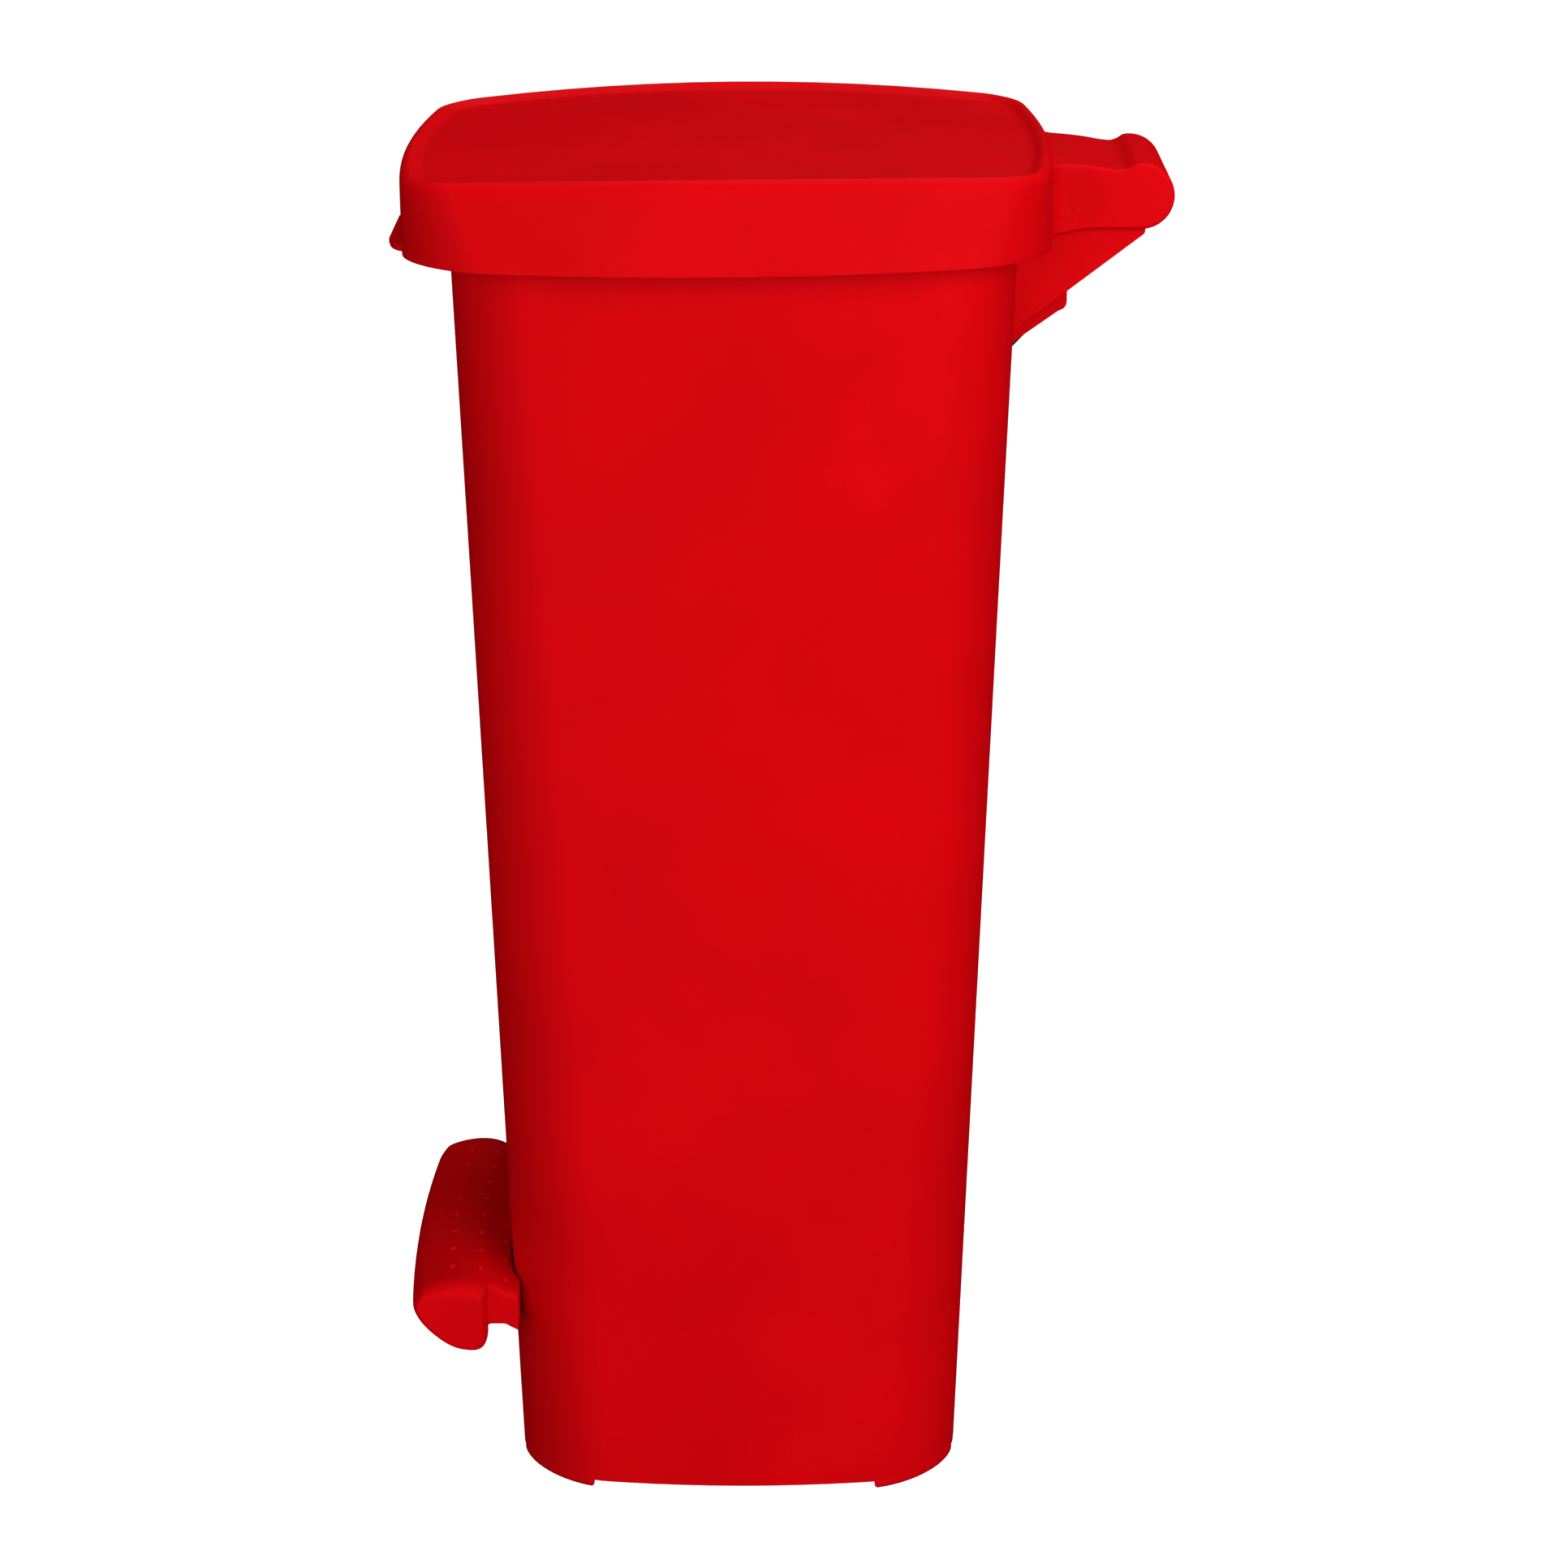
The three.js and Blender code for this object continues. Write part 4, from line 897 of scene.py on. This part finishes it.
def pedal_lever():
    x, z = PIVOT
    ex, _, ez = rod_path()[0]
    lever = block("pedal_lever_moulding", -203, -150, -NECK_HALF, NECK_HALF, SHELF_LOW, SHELF_HIGH)
    add(lever, prism("neck", rounded_box(-166, -130, 98, SHELF_HIGH, 6), "y", -NECK_HALF, NECK_HALF))
    arm = [(-140, 98), (-140, 124), (-112, 118), (x, z + 13), (x + 8, z - 12), (-112, 92)]
    add(lever, prism("arm", arm, "y", -20, 20))
    add(lever, tube("hub", [(x, -24, z), (x, 24, z)], 14, 64, 0))
    rib = [(x - 4, z + 13), (x + 30, z + 7), (ex, ez + 9), (ex, ez - 9), (x + 30, z - 19), (x - 4, z - 13)]
    add(lever, prism("rib", rib, "y", *RIB_Y))
    turn = math.atan2(ez - z, ex - x)
    du, dv = 3.4 * math.cos(turn), 3.4 * math.sin(turn)
    add(lever, prism("end", capsule(ex - du, ez - dv, ex + du, ez + dv, 9), "y", *RIB_Y))
    slot = capsule(ex - du, ez - dv, ex + du, ez + dv, ROD_RADIUS + 0.6)
    cut(lever, prism("slot", slot, "y", RIB_Y[0] - 1, RIB_Y[1] + 1))
    cut(lever, tube("bore", [(x, -60, z), (x, 60, z)], AXLE_RADIUS + GAP, 48, 0))
    for y in SCREWS:
        cut(lever, tube("hole", [(SCREW_X, y, 110), (SCREW_X, y, 130)], 2.5 + GAP, 32, 0))
    soften(lever, 0.8, 3, 40)
    return finish_piece(lever, "pedal", "pedal_plastic", PEDAL_RED, "pedal_lever")


def pedal_hardware():
    x, z = PIVOT
    axle = [(0, -27.5), (4.2, -27.5), (AXLE_RADIUS, -26.7), (AXLE_RADIUS, 26.7), (4.2, 27.5), (0, 27.5)]
    finish_piece(lathe("pedal_axle_bar", axle, (x, 0, z), (0, 1, 0)), "pedal", "steel", STEEL, "pedal_axle")
    for k, y in enumerate(SCREWS):
        head = SHELF_LOW - GAP
        dome = [(0, 3), (1.4, 3.4), (3, 3.1), (4.2, 2.3), (4.8, 1.2), (4.8, 0)]
        profile = [(radius, head - below) for radius, below in dome]
        profile += [(2.5, head), (2.5, 136.5), (1.4, 138), (0, 138.5)]
        screw = lathe(f"pedal_screw_{k + 1}_body", profile, (SCREW_X, y, 0), (0, 0, 1))
        for du, dv in ((2.4, 0.5), (0.5, 2.4)):
            cut(screw, block("recess", SCREW_X - du, SCREW_X + du, y - dv, y + dv, head - 6, head - 1.6))
        finish_piece(screw, "pedal", "steel", STEEL, f"pedal_screw_{k + 1}")


# ---------------------------------------------------------------- push rod


def rounded_path(points, radius, steps=10):
    """A path whose corners are rounded."""
    made = [Vector(points[0])]
    for before, here, after in zip(points, points[1:], points[2:]):
        before, here, after = Vector(before), Vector(here), Vector(after)
        into, out = (before - here).normalized(), (after - here).normalized()
        reach = radius / math.tan(into.angle(out) / 2)
        start, end = here + into * reach, here + out * reach
        for i in range(steps + 1):
            t = i / steps
            made.append(start * (1 - t) ** 2 + here * 2 * t * (1 - t) + end * t * t)
    made.append(Vector(points[-1]))
    return made


def push_rod():
    path = rod_path()
    ends = [(path[0][0], LEG_LOWER, path[0][2]), (path[3][0], LEG_UPPER, path[3][2])]
    rod = tube("push_rod_bar", rounded_path([ends[0], *path, ends[1]], 3.6), ROD_RADIUS)
    finish_piece(rod, "rod", "steel", STEEL, "push_rod")
    for name, at, y in (("lower", path[0], RIB_Y[1] + 0.6), ("upper", path[3], LUG_Y[1] + 0.6)):
        hole = ROD_RADIUS + 0.15
        section = [(hole, 0), (6.6, 0), (7.5, 0.5), (7.5, 1), (7.2, 1.3), (5.2, 1.6), (hole, 1.2)]
        profile = [(radius, y + along) for radius, along in section]
        ring = lathe(f"rod_clip_{name}_ring", profile, (at[0], 0, at[2]), (0, 1, 0))
        finish_piece(ring, "rod", "steel", STEEL, f"rod_clip_{name}")


# ---------------------------------------------------------------- small CAD nodes kept as they are


def dress_node(name, material, width):
    node = frame["nodes"][name]
    node.data.materials.clear()
    node.data.materials.append(material)
    bevel = node.modifiers.new("soften", "BEVEL")
    bevel.width = width * MM
    bevel.segments = 3
    bevel.limit_method = "ANGLE"
    bevel.angle_limit = math.radians(40)


# ---------------------------------------------------------------- stage, light and camera


def studio():
    """Pale floor and backdrop that stay white in the picture and throw little light on the bin."""
    floor = block("floor", -9000, 9000, -6000, 12000, -20, -0.4)
    material, nodes, links, shader = node_material("pale_floor")
    coords = nodes.new("ShaderNodeTexCoord").outputs["Object"]
    base = mix_colour(nodes, links, noise(nodes, links, coords, 3), (0.9, 0.9, 0.9), (0.93, 0.93, 0.93))
    links.new(base, shader.inputs["Base Color"])
    links.new(base, shader.inputs["Emission Color"])
    shader.inputs["Emission Strength"].default_value = 1.12
    shader.inputs["Roughness"].default_value = 0.8
    shader.inputs["Specular IOR Level"].default_value = 0.1
    floor.data.materials.append(material)
    floor.visible_diffuse = False
    floor.visible_glossy = False

    world = bpy.data.worlds.new("studio")
    bpy.context.scene.world = world
    world.use_nodes = True
    world.node_tree.nodes["Background"].inputs["Color"].default_value = (1, 1, 1, 1)
    world.node_tree.nodes["Background"].inputs["Strength"].default_value = 1
    world.cycles_visibility.diffuse = False
    world.cycles_visibility.glossy = False


def softbox(name, size, power, place, target):
    light = bpy.data.lights.new(name, "AREA")
    light.shape = "RECTANGLE"
    light.size, light.size_y = size
    light.energy = power
    lamp = bpy.data.objects.new(name, light)
    lamp.location = place
    lamp.rotation_euler = (Vector(target) - Vector(place)).to_track_quat("-Z", "Y").to_euler()
    bpy.context.scene.collection.objects.link(lamp)
    return lamp


def camera():
    data = bpy.data.cameras.new("camera")
    data.lens = 96.9
    data.sensor_width = 36
    data.clip_end = 60
    eye = bpy.data.objects.new("camera", data)
    place = Matrix.Translation(((31 + BODY_X) * MM, -2.6201, 1.3291))
    tilt = Matrix.Rotation(math.radians(90 - 18.5), 4, "X")
    roll = Matrix.Rotation(math.radians(0.15), 4, "Z")
    eye.matrix_world = place @ tilt @ roll
    bpy.context.scene.collection.objects.link(eye)
    bpy.context.scene.camera = eye


camera()
studio()
softbox("key", (2.4, 2.6), 92, (2.0, -2.5, 1.35), (0, 0, 0.4))
softbox("front", (2.6, 2.6), 62, (-1.1, -3.2, 0.95), (0, 0, 0.36))
softbox("top", (2.4, 2.4), 42, (0.3, 0.3, 2.9), (0, 0, 0.4))
softbox("left", (1.6, 2.2), 11, (-2.6, -0.9, 0.6), (0, 0, 0.25))
bpy.context.scene.view_settings.view_transform = "Standard"

body_shell()
feet()
hinge_bracket()
bracket_rivets()
hinge_hardware()
lid_shell()
lid_bumpers()
pedal_plate()
pedal_lever()
pedal_hardware()
push_rod()
for node_name in ("axle_block_left", "axle_block_right", "rod_guide_lower", "rod_guide_upper"):
    dress_node(node_name, NYLON, 0.8)
